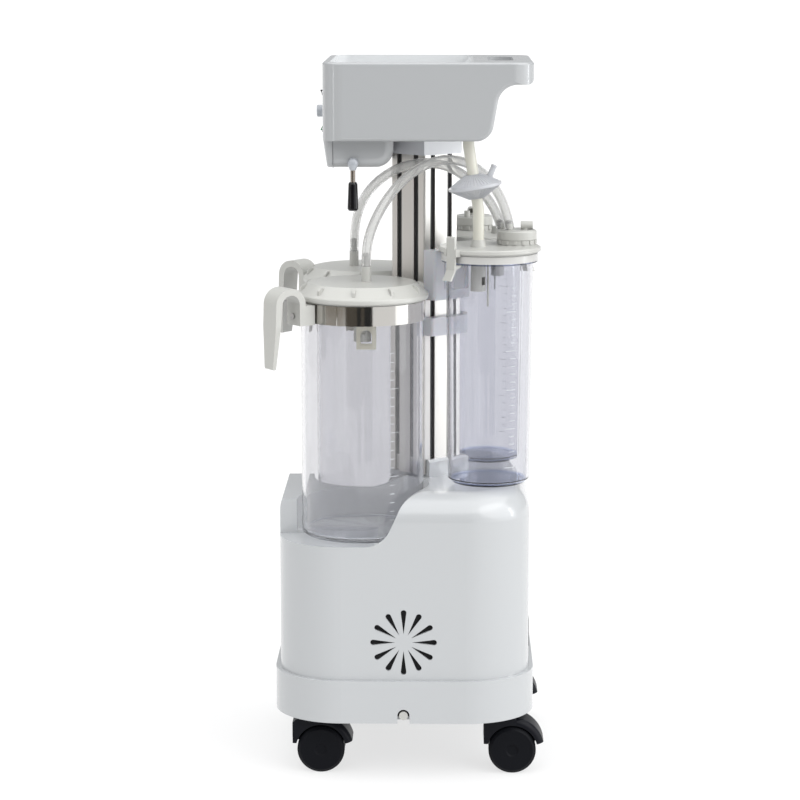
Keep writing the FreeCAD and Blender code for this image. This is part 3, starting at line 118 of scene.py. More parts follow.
# %% Mesh builders
def add_piece(name, mesh_data, body="frame", smooth_angle=35.0):
    """Turns a bmesh into a piece that moves with a body."""
    bmesh.ops.remove_doubles(mesh_data, verts=mesh_data.verts, dist=1e-6)
    bmesh.ops.recalc_face_normals(mesh_data, faces=mesh_data.faces)
    mesh = bpy.data.meshes.new(name)
    mesh_data.to_mesh(mesh)
    mesh_data.free()
    mesh.shade_smooth()
    mesh.set_sharp_from_angle(angle=math.radians(smooth_angle))
    piece = bpy.data.objects.new(name, mesh)
    bpy.context.scene.collection.objects.link(piece)
    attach(piece, body)
    return piece


def turn_profile(mesh_data, outline, place, steps):
    """Spins a list of (radius, height) round an axis into mesh_data."""
    rings = []
    for i in range(steps):
        a = 2 * math.pi * i / steps
        points = [Vector((r * math.cos(a), r * math.sin(a), z)) for r, z in outline]
        rings.append([mesh_data.verts.new(place @ point) for point in points])
    for i in range(steps):
        one, two = rings[i], rings[(i + 1) % steps]
        for j in range(len(outline) - 1):
            if outline[j][0] < 1e-7 and outline[j + 1][0] < 1e-7:
                continue
            corners = [one[j], two[j], two[j + 1], one[j + 1]]
            if outline[j][0] < 1e-7:
                corners = [one[j], two[j + 1], one[j + 1]]
            elif outline[j + 1][0] < 1e-7:
                corners = [one[j], two[j], one[j + 1]]
            mesh_data.faces.new(corners)


def push_outline(mesh_data, outline, low, high, place=Matrix.Identity(4)):
    """Pushes a flat outline (x, y) from one height to another."""
    bottom = [mesh_data.verts.new(place @ Vector((x, y, low))) for x, y in outline]
    top = [mesh_data.verts.new(place @ Vector((x, y, high))) for x, y in outline]
    mesh_data.faces.new(bottom[::-1])
    mesh_data.faces.new(top)
    for i in range(len(outline)):
        k = (i + 1) % len(outline)
        mesh_data.faces.new((bottom[i], bottom[k], top[k], top[i]))


def at(x, y, z, turn=(0, 0, 0)):
    """A place in the model, turned by Euler angles in degrees."""
    return Matrix.Translation((x, y, z)) @ Euler([math.radians(t) for t in turn]).to_matrix().to_4x4()


def round_rect(half_x, half_y, radius, steps=6):
    """The outline of a rectangle with round corners."""
    points = []
    for cx, cy, first in ((1, 1, 0), (-1, 1, 90), (-1, -1, 180), (1, -1, 270)):
        for i in range(steps + 1):
            a = math.radians(first + 90 * i / steps)
            x = cx * (half_x - radius) + radius * math.cos(a)
            y = cy * (half_y - radius) + radius * math.sin(a)
            points.append((x, y))
    return points


# %% Hoses
def tube_mesh(name, route, radius, capped):
    """The round tube along a route, as a smooth mesh."""
    line = smooth_line("tube_line", route, radius)
    line.data.use_fill_caps = capped
    mesh = bpy.data.meshes.new_from_object(line)
    bpy.data.objects.remove(line)
    mesh.name = name
    mesh.shade_smooth()
    mesh.set_sharp_from_angle(angle=math.radians(60))
    piece = bpy.data.objects.new(name, mesh)
    bpy.context.scene.collection.objects.link(piece)
    return piece


def make_hose(side, route):
    """One clear hose: its wall, and its bore with the faces turned inwards."""
    points = centre_points(route)
    hose = tube_mesh("hose_" + side, route, HOSE_RADIUS, True)
    bore = tube_mesh("hose_bore_" + side, route, HOSE_BORE, False)
    bore.data.flip_normals()
    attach(hose, "frame")
    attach(bore, "frame")
    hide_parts("clear_hose_" + side)
    print("hose", side, "length", round(line_length(points), 4))
    return hose, bore


hose_right, bore_right = make_hose("right", RIGHT_ROUTE)
hose_left, bore_left = make_hose("left", LEFT_ROUTE)


# %% [markdown]
# Four effects turn up in the finishes: the fine unevenness of a moulded skin, the hair-thin lines of
# drawn or brushed metal, a slow drift of tone across a large piece, and a tint between two heights.
# Each is one shader node group, built once and given its own values in each material.

# %% Shader group helpers
def new_group(name, inputs, outputs):
    """A shader node group with named sockets; returns the tree and its two end nodes."""
    tree = bpy.data.node_groups.new(name, "ShaderNodeTree")
    for label, kind, default in inputs:
        socket = tree.interface.new_socket(label, in_out="INPUT", socket_type=kind)
        socket.default_value = default
    for label, kind in outputs:
        tree.interface.new_socket(label, in_out="OUTPUT", socket_type=kind)
    return tree, tree.nodes.new("NodeGroupInput"), tree.nodes.new("NodeGroupOutput")


def wire(tree, kind, settings=None, **inputs):
    """Adds a node, sets its options, and fills its sockets with values or other sockets."""
    node = tree.nodes.new(kind)
    for option, value in (settings or {}).items():
        setattr(node, option, value)
    for label, value in inputs.items():
        socket = node.inputs[int(label[1:])] if label[0] == "_" else node.inputs[label.replace("_", " ")]
        if isinstance(value, bpy.types.NodeSocket):
            tree.links.new(value, socket)
        else:
            socket.default_value = value
    return node


def spread_roughness(tree, start, pattern):
    """The group's roughness, moved up and down by a pattern within its spread."""
    centred = wire(tree, "ShaderNodeMath", {"operation": "SUBTRACT"}, _0=pattern.outputs["Fac"], _1=0.5)
    spread = wire(tree, "ShaderNodeMath", {"operation": "MULTIPLY"}, _0=centred.outputs[0],
                  _1=start.outputs["Spread"])
    rough = wire(tree, "ShaderNodeMath", {"operation": "ADD"}, _0=spread.outputs[0],
                 _1=start.outputs["Roughness"])
    return rough.outputs[0]


FLOAT, COLOUR, VECTOR = "NodeSocketFloat", "NodeSocketColor", "NodeSocketVector"


# %% Group: moulded skin
def build_moulded_skin():
    """A soft orange-peel bump with a roughness that wanders a little."""
    tree, start, end = new_group(
        "moulded_skin",
        [("Scale", FLOAT, 260.0), ("Height", FLOAT, 0.05), ("Roughness", FLOAT, 0.3),
         ("Spread", FLOAT, 0.06)],
        [("Normal", VECTOR), ("Roughness", FLOAT)])
    place = wire(tree, "ShaderNodeTexCoord").outputs["Object"]
    peel = wire(tree, "ShaderNodeTexNoise", Vector=place, Scale=start.outputs["Scale"], Detail=2.0)
    bump = wire(tree, "ShaderNodeBump", Strength=start.outputs["Height"], Distance=0.0006,
                Height=peel.outputs["Fac"])
    patch = wire(tree, "ShaderNodeTexNoise", Vector=place, Scale=14.0, Detail=1.5)
    tree.links.new(bump.outputs[0], end.inputs["Normal"])
    tree.links.new(spread_roughness(tree, start, patch), end.inputs["Roughness"])
    return tree


moulded_skin = build_moulded_skin()


# %% Group: drawn lines
def build_drawn_lines():
    """Lines that run along one direction: Stretch is small along the lines, large across them."""
    tree, start, end = new_group(
        "drawn_lines",
        [("Stretch", VECTOR, (900.0, 900.0, 8.0)), ("Height", FLOAT, 0.1), ("Roughness", FLOAT, 0.3),
         ("Spread", FLOAT, 0.15)],
        [("Normal", VECTOR), ("Roughness", FLOAT)])
    place = wire(tree, "ShaderNodeTexCoord").outputs["Object"]
    scaled = wire(tree, "ShaderNodeVectorMath", {"operation": "MULTIPLY"}, _0=place,
                  _1=start.outputs["Stretch"])
    lines = wire(tree, "ShaderNodeTexNoise", Vector=scaled.outputs[0], Scale=1.0, Detail=5.0, Roughness=0.7)
    bump = wire(tree, "ShaderNodeBump", Strength=start.outputs["Height"], Distance=0.0004,
                Height=lines.outputs["Fac"])
    tree.links.new(bump.outputs[0], end.inputs["Normal"])
    tree.links.new(spread_roughness(tree, start, lines), end.inputs["Roughness"])
    return tree


drawn_lines = build_drawn_lines()


# %% Group: tone drift
def build_tone_drift():
    """A colour that drifts slowly between two tones."""
    tree, start, end = new_group(
        "tone_drift",
        [("Light", COLOUR, (0.8, 0.8, 0.8, 1)), ("Deep", COLOUR, (0.7, 0.7, 0.7, 1)), ("Scale", FLOAT, 6.0)],
        [("Color", COLOUR)])
    place = wire(tree, "ShaderNodeTexCoord").outputs["Object"]
    cloud = wire(tree, "ShaderNodeTexNoise", Vector=place, Scale=start.outputs["Scale"], Detail=1.0)
    ramp = wire(tree, "ShaderNodeMapRange", Value=cloud.outputs["Fac"], From_Min=0.2, From_Max=0.8)
    mix = wire(tree, "ShaderNodeMix", {"data_type": "RGBA"})
    tree.links.new(ramp.outputs["Result"], mix.inputs["Factor"])
    tree.links.new(start.outputs["Light"], mix.inputs[6])
    tree.links.new(start.outputs["Deep"], mix.inputs[7])
    tree.links.new(mix.outputs[2], end.inputs["Color"])
    return tree


tone_drift = build_tone_drift()


# %% Group: level band
def build_level_band():
    """A soft-edged mask between two heights, for the foot and the rim of a clear jar."""
    tree, start, end = new_group(
        "level_band",
        [("Low", FLOAT, 0.0), ("High", FLOAT, 0.1), ("Softness", FLOAT, 0.001)],
        [("Mask", FLOAT)])
    place = wire(tree, "ShaderNodeTexCoord").outputs["Object"]
    height = wire(tree, "ShaderNodeSeparateXYZ", Vector=place).outputs["Z"]
    rise_low = wire(tree, "ShaderNodeMath", {"operation": "SUBTRACT"}, _0=height, _1=start.outputs["Low"])
    rise = wire(tree, "ShaderNodeMath", {"operation": "DIVIDE", "use_clamp": True}, _0=rise_low.outputs[0],
                _1=start.outputs["Softness"])
    fall_high = wire(tree, "ShaderNodeMath", {"operation": "SUBTRACT"}, _0=start.outputs["High"], _1=height)
    fall = wire(tree, "ShaderNodeMath", {"operation": "DIVIDE", "use_clamp": True}, _0=fall_high.outputs[0],
                _1=start.outputs["Softness"])
    both = wire(tree, "ShaderNodeMath", {"operation": "MULTIPLY"}, _0=rise.outputs[0], _1=fall.outputs[0])
    tree.links.new(both.outputs[0], end.inputs["Mask"])
    return tree


level_band = build_level_band()
print("shader groups", [group.name for group in bpy.data.node_groups])

# %% [markdown]
# Most of the pump is plastic: a glossy cool white on the big mouldings, a warmer white on the lids
# and handles, grey on the brackets and black nylon on the castors. One helper makes them all, with
# the moulded skin in the normal and roughness and the tone drift in the colour. Painted panels, rubber
# and foam only need other values.

# %% Plastic finishes
def start_material(name):
    """An empty material with its shader and output."""
    material = bpy.data.materials.new(name)
    material.use_nodes = True
    tree = material.node_tree
    return material, tree, tree.nodes["Principled BSDF"]


def place_group(tree, group, **values):
    """Puts a shader group in a material with its own values."""
    node = tree.nodes.new("ShaderNodeGroup")
    node.node_tree = group
    for label, value in values.items():
        node.inputs[label].default_value = value
    return node


def plastic(name, light, deep, rough=0.3, skin=260.0, height=0.05, coat=0.0, spread=0.06, drift=6.0,
            subsurface=0.0, mirror=0.5):
    """A moulded plastic, rubber or foam finish; mirror is how strongly the bare surface reflects."""
    material, tree, shader = start_material(name)
    skin_node = place_group(tree, moulded_skin, Scale=skin, Height=height, Roughness=rough, Spread=spread)
    tone_node = place_group(tree, tone_drift, Light=(*light, 1), Deep=(*deep, 1), Scale=drift)
    tree.links.new(tone_node.outputs["Color"], shader.inputs["Base Color"])
    tree.links.new(skin_node.outputs["Normal"], shader.inputs["Normal"])
    tree.links.new(skin_node.outputs["Roughness"], shader.inputs["Roughness"])
    shader.inputs["Specular IOR Level"].default_value = mirror
    shader.inputs["Coat Weight"].default_value = coat
    shader.inputs["Coat Roughness"].default_value = 0.06
    if subsurface:
        shader.inputs["Subsurface Weight"].default_value = subsurface
        shader.inputs["Subsurface Scale"].default_value = 0.004
    return material


# The base shell and the housing (with the control box) are one white plastic in two copies. The shell's copy
# is painted lighter and the housing's darker: painted light and shade for how each is lit.
shell_lit_white = plastic("glossy_shell_painted_light_white", (0.45, 0.462, 0.472), (0.443, 0.455, 0.465), 0.24, 180, 0.03,
                      coat=0.5, spread=0.03, drift=3)
housing_shaded_white = plastic("housing_cool_painted_shade_white", (0.375, 0.384, 0.392), (0.37, 0.379, 0.387), 0.26, 180, 0.03,
                        coat=0.5, spread=0.03, drift=3)
# The collar's white is a lighter copy of the housing white. This is painted light that brightens its lit
# face; only the faint lavender tint is its own.
collar_lit_white = plastic("collar_lavender_painted_light_white", (0.56, 0.57, 0.60), (0.55, 0.56, 0.59), 0.30, 180, 0.03,
                       coat=0.3, spread=0.03, drift=3)
# A still lighter copy of the white for the tray's inside and the jar wells: painted light over the shade in
# them.
wells_lit_white = plastic("tray_and_wells_painted_light_white", (0.60, 0.612, 0.62), (0.59, 0.602, 0.61), 0.26, 180, 0.03,
                     coat=0.5, spread=0.03, drift=3)
lid_white = plastic("warm_lid_white", (0.46, 0.46, 0.435), (0.45, 0.45, 0.425), 0.33, 320, 0.05, coat=0.15)
bracket_grey = plastic("bracket_lavender_grey", (0.52, 0.53, 0.56), (0.505, 0.515, 0.545), 0.34, 300, 0.05,
                       subsurface=0.2)
panel_grey = plastic("panel_light_grey", (0.55, 0.57, 0.60), (0.52, 0.54, 0.57), 0.48, 900, 0.14)
castor_black = plastic("castor_blue_black", (0.006, 0.0065, 0.010), (0.004, 0.0045, 0.007), 0.38, 700, 0.10,
                       spread=0.12, mirror=0.12)
wheel_black = plastic("wheel_tread_black", (0.006, 0.0065, 0.009), (0.004, 0.0045, 0.006), 0.50, 900, 0.14,
                      spread=0.16, mirror=0.08)
grip_black = plastic("grip_gloss_black", (0.006, 0.006, 0.008), (0.004, 0.004, 0.005), 0.16, 300, 0.03,
                     coat=0.25, mirror=0.2)
socket_black = plastic("fine_grain_black", (0.022, 0.022, 0.025), (0.016, 0.016, 0.018), 0.45, 1200, 0.18)
pad_rubber = plastic("matte_rubber", (0.022, 0.022, 0.022), (0.012, 0.012, 0.012), 0.75, 1400, 0.25)
gasket_rubber = plastic("silicone_gasket", (0.60, 0.60, 0.57), (0.52, 0.52, 0.50), 0.45, 500, 0.06)
filter_foam = plastic("open_black_foam", (0.014, 0.014, 0.015), (0.004, 0.004, 0.005), 0.95, 1600, 0.9,
                      spread=0.05, drift=900)
knob_grey = plastic("knob_grey", (0.42, 0.44, 0.47), (0.38, 0.40, 0.43), 0.28, 300, 0.04, coat=0.3)
rocker_green = plastic("rocker_green", (0.035, 0.26, 0.09), (0.02, 0.20, 0.06), 0.22, 300, 0.03, coat=0.5)
float_plastic = plastic("float_soft_white", (0.66, 0.66, 0.60), (0.60, 0.60, 0.55), 0.45, 500, 0.06)
dark_fitting = plastic("dark_fitting", (0.07, 0.07, 0.07), (0.035, 0.035, 0.036), 0.30, 400, 0.06, coat=0.2)
barb_grey = plastic("barb_grey", (0.30, 0.30, 0.29), (0.22, 0.22, 0.21), 0.35, 400, 0.06)
motor_enamel = plastic("motor_enamel", (0.030, 0.033, 0.037), (0.02, 0.022, 0.026), 0.40, 500, 0.16)
print("plastic finishes", len(bpy.data.materials))

# %% [markdown]
# The metals differ in how they were made. The column is drawn through a die and anodised, so fine
# lines run up it. The clamp bands are polished sheet and mirror the room. Castings are duller, with a
# coarser skin.

# %% Metal finishes
def metal(name, light, deep, rough, stretch=None, height=0.1, spread=0.12, grain=400.0, drift=5.0):
    """A metal with drawn lines, or with a cast skin when no stretch is given."""
    material, tree, shader = start_material(name)
    if stretch:
        skin = place_group(tree, drawn_lines, Stretch=stretch, Height=height, Roughness=rough, Spread=spread)
    else:
        skin = place_group(tree, moulded_skin, Scale=grain, Height=height, Roughness=rough, Spread=spread)
    tone = place_group(tree, tone_drift, Light=(*light, 1), Deep=(*deep, 1), Scale=drift)
    tree.links.new(tone.outputs["Color"], shader.inputs["Base Color"])
    tree.links.new(skin.outputs["Normal"], shader.inputs["Normal"])
    tree.links.new(skin.outputs["Roughness"], shader.inputs["Roughness"])
    shader.inputs["Metallic"].default_value = 1.0
    return material


column_silver = metal("anodised_silver", (0.68, 0.665, 0.64), (0.63, 0.615, 0.59), 0.38, (1500, 1500, 6),
                      0.12)
band_steel = metal("polished_band", (0.55, 0.535, 0.51), (0.50, 0.485, 0.46), 0.10, (14, 14, 1600), 0.03,
                   0.05)
cast_alloy = metal("cast_alloy", (0.48, 0.485, 0.49), (0.42, 0.425, 0.43), 0.48, None, 0.35, 0.1, 700)
plain_steel = metal("plated_steel", (0.48, 0.48, 0.48), (0.42, 0.42, 0.42), 0.25, (300, 300, 300), 0.04)
stem_bronze = metal("warm_plated_stem", (0.34, 0.30, 0.26), (0.28, 0.25, 0.22), 0.28, (900, 900, 40), 0.08)
plate_grey = metal("zinc_plate", (0.40, 0.41, 0.42), (0.33, 0.34, 0.35), 0.46, None, 0.2, 0.1, 500, drift=30)
print("metal finishes made")

# %% [markdown]
# The jars are clear polycarbonate with real walls, so light bends at both faces. A clear piece would
# cast a hard black shadow, because light that is bent can't be aimed at a lamp. Rays that carry
# shadow or soft light therefore meet a faintly tinted see-through surface instead. The hoses are
# cloudier than the jars, so part of their surface scatters light as plain plastic does.

# %% Clear finishes
def clear(name, tint, shadow_tint, rough=0.02, ior=1.46, skin=200.0, height=0.02, bands=(), body=0.0):
    """A clear plastic or glass; bands are height ranges with a tint of their own, body is its cloudiness."""
    material, tree, shader = start_material(name)
    shader.inputs["Transmission Weight"].default_value = 1.0 - body
    shader.inputs["IOR"].default_value = ior
    shader.inputs["Roughness"].default_value = rough
    shader.inputs["Base Color"].default_value = (*tint, 1)
    skin_node = place_group(tree, moulded_skin, Scale=skin, Height=height, Roughness=rough, Spread=0.0)
    tree.links.new(skin_node.outputs["Normal"], shader.inputs["Normal"])
    colour = None
    for low, high, soft, band_tint in bands:
        mask = place_group(tree, level_band, Low=low, High=high, Softness=soft)
        mix = wire(tree, "ShaderNodeMix", {"data_type": "RGBA"})
        tree.links.new(mask.outputs["Mask"], mix.inputs["Factor"])
        if colour is None:
            mix.inputs[6].default_value = (*tint, 1)
        else:
            tree.links.new(colour, mix.inputs[6])
        mix.inputs[7].default_value = (*band_tint, 1)
        colour = mix.outputs[2]
    if colour is not None:
        tree.links.new(colour, shader.inputs["Base Color"])
    paths = tree.nodes.new("ShaderNodeLightPath")
    soft_light = wire(tree, "ShaderNodeMath", {"operation": "MAXIMUM"}, _0=paths.outputs["Is Shadow Ray"],
                      _1=paths.outputs["Is Diffuse Ray"])
    through = wire(tree, "ShaderNodeBsdfTransparent", Color=(*shadow_tint, 1))
    blend = tree.nodes.new("ShaderNodeMixShader")
    tree.links.new(soft_light.outputs[0], blend.inputs[0])
    tree.links.new(shader.outputs[0], blend.inputs[1])
    tree.links.new(through.outputs[0], blend.inputs[2])
    tree.links.new(blend.outputs[0], tree.nodes["Material Output"].inputs["Surface"])
    return material


large_jar_clear = clear("large_jar_clear", (0.84, 0.84, 0.855), (0.95, 0.95, 0.955),
                        bands=[(0.300, 0.3065, 0.002, (0.76, 0.79, 0.87))])
small_jar_clear = clear("small_jar_clear", (0.835, 0.838, 0.865), (0.95, 0.95, 0.96),
                        bands=[(0.366, 0.372, 0.002, (0.42, 0.48, 0.68)),
                               (0.6445, 0.6475, 0.001, (0.30, 0.34, 0.50)),
                               (0.6478, 0.659, 0.001, (0.70, 0.70, 0.69))])
hose_clear = clear("hose_clear", (0.80, 0.80, 0.79), (0.92, 0.92, 0.92), 0.10, 1.22, 90, 0.0, body=0.2)
lens_clear = clear("gauge_lens_clear", (0.97, 0.98, 0.98), (0.98, 0.98, 0.98), 0.01, 1.5, 100, 0.0)
print("clear finishes made")


# %% Milky finishes
def milky(name, light, deep, see_through, rough):
    """Translucent silicone or polypropylene: scattering plastic that passes part of the light."""
    material = plastic(name, light, deep, rough, 300, 0.03, coat=0.2)
    shader = material.node_tree.nodes["Principled BSDF"]
    shader.inputs["Transmission Weight"].default_value = see_through
    shader.inputs["IOR"].default_value = 1.41
    return material


hose_cream = milky("cream_silicone", (0.66, 0.65, 0.575), (0.63, 0.62, 0.545), 0.10, 0.30)
filter_haze = milky("hazy_filter_plastic", (0.54, 0.55, 0.575), (0.49, 0.50, 0.53), 0.15, 0.26)
print("milky finishes made")

# %% [markdown]
# Every node of the engineered model takes one of these finishes. The tray's inside and the wells that hold
# the large jars take a lighter white, face by face. This is painted light that lifts the shade falling in
# them, because light reaches them only from above.

# %% Finishes on the model's own pieces
FINISHES = {
    "base_shell": shell_lit_white, "base_plate": plate_grey, "vent_filters": filter_foam,
    "skirt_plugs": lid_white, "castor_stems": plain_steel, "pump_motor": motor_enamel,
    "pump_rotor": plain_steel, "pump_heads": cast_alloy, "pump_feet": pad_rubber,
    "power_inlet": socket_black, "column_profile": column_silver, "column_foot": cast_alloy,
    "column_collar": collar_lit_white, "jar_brackets": bracket_grey, "top_housing": housing_shaded_white,
    "front_panel": panel_grey, "control_box": housing_shaded_white, "gauge_case": lid_white,
    "gauge_needle": grip_black, "gauge_lens": lens_clear, "regulator_knob": knob_grey,
    "air_fittings": lid_white, "switch_frames": socket_black, "power_rocker": rocker_green,
    "mode_rocker": grip_black, "lever_boss": knob_grey, "lever_stem": stem_bronze,
    "lever_grip": grip_black, "clamp_bands": band_steel, "jar_handles": lid_white,
    "small_lid_caps": lid_white, "float_cages": lid_white, "lid_gaskets": gasket_rubber,
    "screws": plain_steel, "disc_filter": filter_haze, "filter_hoses": hose_cream}
for side in ("right", "left"):
    FINISHES.update({"large_jar_" + side: large_jar_clear, "large_lid_" + side: lid_white,
                     "large_float_" + side: float_plastic, "small_jar_" + side: small_jar_clear,
                     "small_lid_" + side: lid_white, "latch_%s_front" % side: lid_white,
                     "latch_%s_rear" % side: lid_white, "clear_hose_" + side: hose_clear,
                     "castor_hood_front_" + side: castor_black, "castor_hood_rear_" + side: castor_black,
                     "castor_wheels_front_" + side: wheel_black, "castor_wheels_rear_" + side: wheel_black})
for name, piece in nodes.items():
    piece.data.materials.clear()
    piece.data.materials.append(FINISHES[name])
for piece in (hose_right, bore_right, hose_left, bore_left):
    piece.data.materials.append(hose_clear)

TRAY_LOW, TRAY_HIGH, TRAY_HALF_Y, TRAY_FRONT, TRAY_REAR = 0.8665, 0.8925, 0.1168, -0.0925, 0.0858
housing = nodes["top_housing"]
# Painted light: the faces inside the tray take the lighter white.
housing.data.materials.append(wells_lit_white)
for face in housing.data.polygons:
    x, y, z = face.center
    if TRAY_LOW < z < TRAY_HIGH and abs(y) < TRAY_HALF_Y and TRAY_FRONT < x < TRAY_REAR:
        face.material_index = 1

POCKET_X, POCKET_Y, POCKET_REACH, POCKET_LOW = -0.053, 0.085, 0.0852, 0.300
shell = nodes["base_shell"]
# Painted light: the faces of the jar wells take the lighter white.
shell.data.materials.append(wells_lit_white)
for face in shell.data.polygons:
    x, y, z = face.center
    if z > POCKET_LOW and math.hypot(x - POCKET_X, abs(y) - POCKET_Y) < POCKET_REACH:
        face.material_index = 1
print("finished nodes", len(nodes))

# %% [markdown]
# The floor is a wide, softly glowing white sheet, so shadows on it stay pale. The light is a bright
# overcast sky with one broad, soft lamp overhead and one from the side. Cards stand out of view at
# each side and only reflections show them: shiny round pieces need something dark to mirror, and
# clear ones need a narrow bright window, or they look flat.

# %% Floor and light
def stage_plane(name, size_xy, place, turn, material):
    """A flat stage piece."""
    mesh = bpy.data.meshes.new(name)
    x, y = size_xy[0] / 2, size_xy[1] / 2
    mesh.from_pydata([(-x, -y, 0), (x, -y, 0), (x, y, 0), (-x, y, 0)], [], [(0, 1, 2, 3)])
    piece = bpy.data.objects.new(name, mesh)
    piece.matrix_world = at(*place, turn)
    mesh.materials.append(material)
    bpy.context.scene.collection.objects.link(piece)
    return piece


floor_pale = plastic("floor_pale", (0.26, 0.26, 0.26), (0.25, 0.25, 0.25), 0.75, 40, 0.0, drift=0.5,
                     mirror=0.0)
floor_glow = floor_pale.node_tree.nodes["Principled BSDF"]
floor_glow.inputs["Emission Color"].default_value = (1, 1, 1, 1)
floor_glow.inputs["Emission Strength"].default_value = 0.68
stage_plane("floor", (300, 300), (0, 0, -0.0002), (0, 0, 0), floor_pale)
# A card is its name, extent, place, turn, tone and glow.
CARDS = [("card_left", (3.2, 1.6), (-2.9, -2.6, 0.75), (90, 0, -52), (0.20, 0.175, 0.14), 0.0),
         ("card_side", (2.2, 1.8), (-3.2, 0.5, 0.75), (90, 0, -96), (0.42, 0.40, 0.385), 0.0),
         ("card_warm", (1.7, 1.6), (-0.60, -2.8, 0.75), (90, 0, -12), (0.085, 0.072, 0.054), 0.0),
         ("card_front", (0.26, 1.6), (-0.20, -2.2, 0.75), (90, 0, -6), (0.010, 0.010, 0.010), 0.0),
         ("card_near", (0.56, 1.6), (0.42, -2.2, 0.75), (90, 0, 10), (0.010, 0.010, 0.010), 0.0),
         ("card_bright", (2.2, 2.0), (3.2, -0.5, 0.9), (90, 0, 82), (0.8, 0.8, 0.8), 1.25),
         ("card_window", (0.24, 1.5), (3.1, -0.05, 0.95), (90, 0, 88), (0.8, 0.8, 0.8), 9.0),
         ("card_window_left", (0.14, 1.2), (-2.4, -1.7, 1.05), (90, 0, -54), (0.8, 0.8, 0.8), 7.0)]
for name, extent, place, turn, tone, glow in CARDS:
    card_material, _, card_shader = start_material(name)
    card_shader.inputs["Base Color"].default_value = (*tone, 1)
    card_shader.inputs["Roughness"].default_value = 0.9
    card_shader.inputs["Emission Color"].default_value = (0.95, 0.98, 1.0, 1)
    card_shader.inputs["Emission Strength"].default_value = glow
    card = stage_plane(name, extent, place, turn, card_material)
    card.visible_camera = False
    card.visible_diffuse = False
    card.visible_shadow = False
    card.visible_transmission = False

world = bpy.data.worlds.new("soft_sky")
bpy.context.scene.world = world
world.use_nodes = True
sky = world.node_tree
soft = sky.nodes["Background"]
soft.inputs["Color"].default_value = (0.97, 0.985, 1.0, 1)
soft.inputs["Strength"].default_value = 0.48


def soft_lamp(name, place, turn, strength, breadth):
    """A far-off lamp with a broad, soft face; breadth is its width in degrees of sky."""
    light = bpy.data.lights.new(name, "SUN")
    light.energy = strength
    light.angle = math.radians(breadth)
    piece = bpy.data.objects.new(name, light)
    piece.matrix_world = at(*place, turn)
    bpy.context.scene.collection.objects.link(piece)


soft_lamp("overhead", (0, 0, 3), (8, -4, 0), 3.2, 110)
soft_lamp("side_sun", (3, -1, 3), (24, 58, 0), 1.8, 60)
bpy.context.scene.view_settings.view_transform = "Standard"
print("stage and light set")


# %% [markdown]
# A hose holds because it is pushed over a barb, a short stem with sharp rings. The stems show inside
# the clear hoses: grey ones on the large lids, dark ones on the small jar's cap.

# %% Hose barbs
def barb(name, foot, axis, length, radius, material):
    """A ringed stem that stands on a foot and points along an axis."""
    place = Matrix.Translation(foot) @ Vector(axis).to_track_quat("Z", "Y").to_matrix().to_4x4()
    outline = [(0, 0), (radius * 0.88, 0)]
    rings = 3
    for i in range(rings):
        low = length * (i + 0.15) / rings
        outline += [(radius * 0.88, low), (radius, low + 0.0004),
                    (radius * 0.86, low + length * 0.7 / rings)]
    outline += [(radius * 0.7, length), (0, length)]
    mesh_data = bmesh.new()
    turn_profile(mesh_data, outline, place, 32)
    piece = add_piece(name, mesh_data)
    piece.data.materials.append(material)
    return piece


barb("lid_barb_right", RIGHT_ROUTE[0], (0, 0, 1), 0.017, 0.0039, barb_grey)
barb("lid_barb_left", LEFT_ROUTE[0], (0, 0, 1), 0.017, 0.0039, barb_grey)
barb("cap_barb_rear", (0.131, -0.067, 0.6832), (-0.15, 0.16, 1), 0.012, 0.0039, dark_fitting)
barb("cap_barb_front", (0.121, -0.0548, 0.6832), (-0.3, 0.12, 1), 0.012, 0.0039, dark_fitting)
print("barbs made")

# %% [markdown]
# The disc filter is two shallow cones welded at the rim. Fine ribs run out from its middle and stiffen
# each cone, and a spare capped nozzle stands on the upper one.

# %% Filter ribs and nozzle
FILTER_PLACE = at(0.087, -0.0957, 0.740, (0, -9, 0))
FILTER_INNER, FILTER_OUTER = (0.0095, 0.01475), (0.0300, 0.0029)
FILTER_RIBS = 44
RIB_WIDTH, RIB_HEIGHT, RIB_SINK = 0.0011, 0.0009, 0.0003


def add_bar(mesh_data, start, end, side, width, lift):
    """A thin raised bar between two points; lift is the way it stands up."""
    across = Vector(side).normalized() * width / 2
    corners = []
    for point in (Vector(start), Vector(end)):
        crest = point + Vector(lift)
        corners.append([point - across, point + across, crest + across * 0.5, crest - across * 0.5])
    one, two = ([mesh_data.verts.new(c) for c in ring] for ring in corners)
    mesh_data.faces.new(one[::-1])
    mesh_data.faces.new(two)
    for i in range(4):
        k = (i + 1) % 4
        mesh_data.faces.new((one[i], one[k], two[k], two[i]))


def filter_ribs():
    """Radial ribs on both cones of the filter."""
    mesh_data = bmesh.new()
    for side in (1, -1):
        for i in range(FILTER_RIBS):
            a = 2 * math.pi * i / FILTER_RIBS
            out = Vector((math.cos(a), math.sin(a), 0))
            start = out * FILTER_INNER[0] + Vector((0, 0, side * (FILTER_INNER[1] - RIB_SINK)))
            end = out * FILTER_OUTER[0] + Vector((0, 0, side * (FILTER_OUTER[1] - RIB_SINK)))
            lift = (out * 0.45 + Vector((0, 0, side * 0.89))) * RIB_HEIGHT
            add_bar(mesh_data, start, end, (-out.y, out.x, 0), RIB_WIDTH, lift)
    mesh_data.transform(FILTER_PLACE)
    return add_piece("filter_ribs", mesh_data, smooth_angle=20)


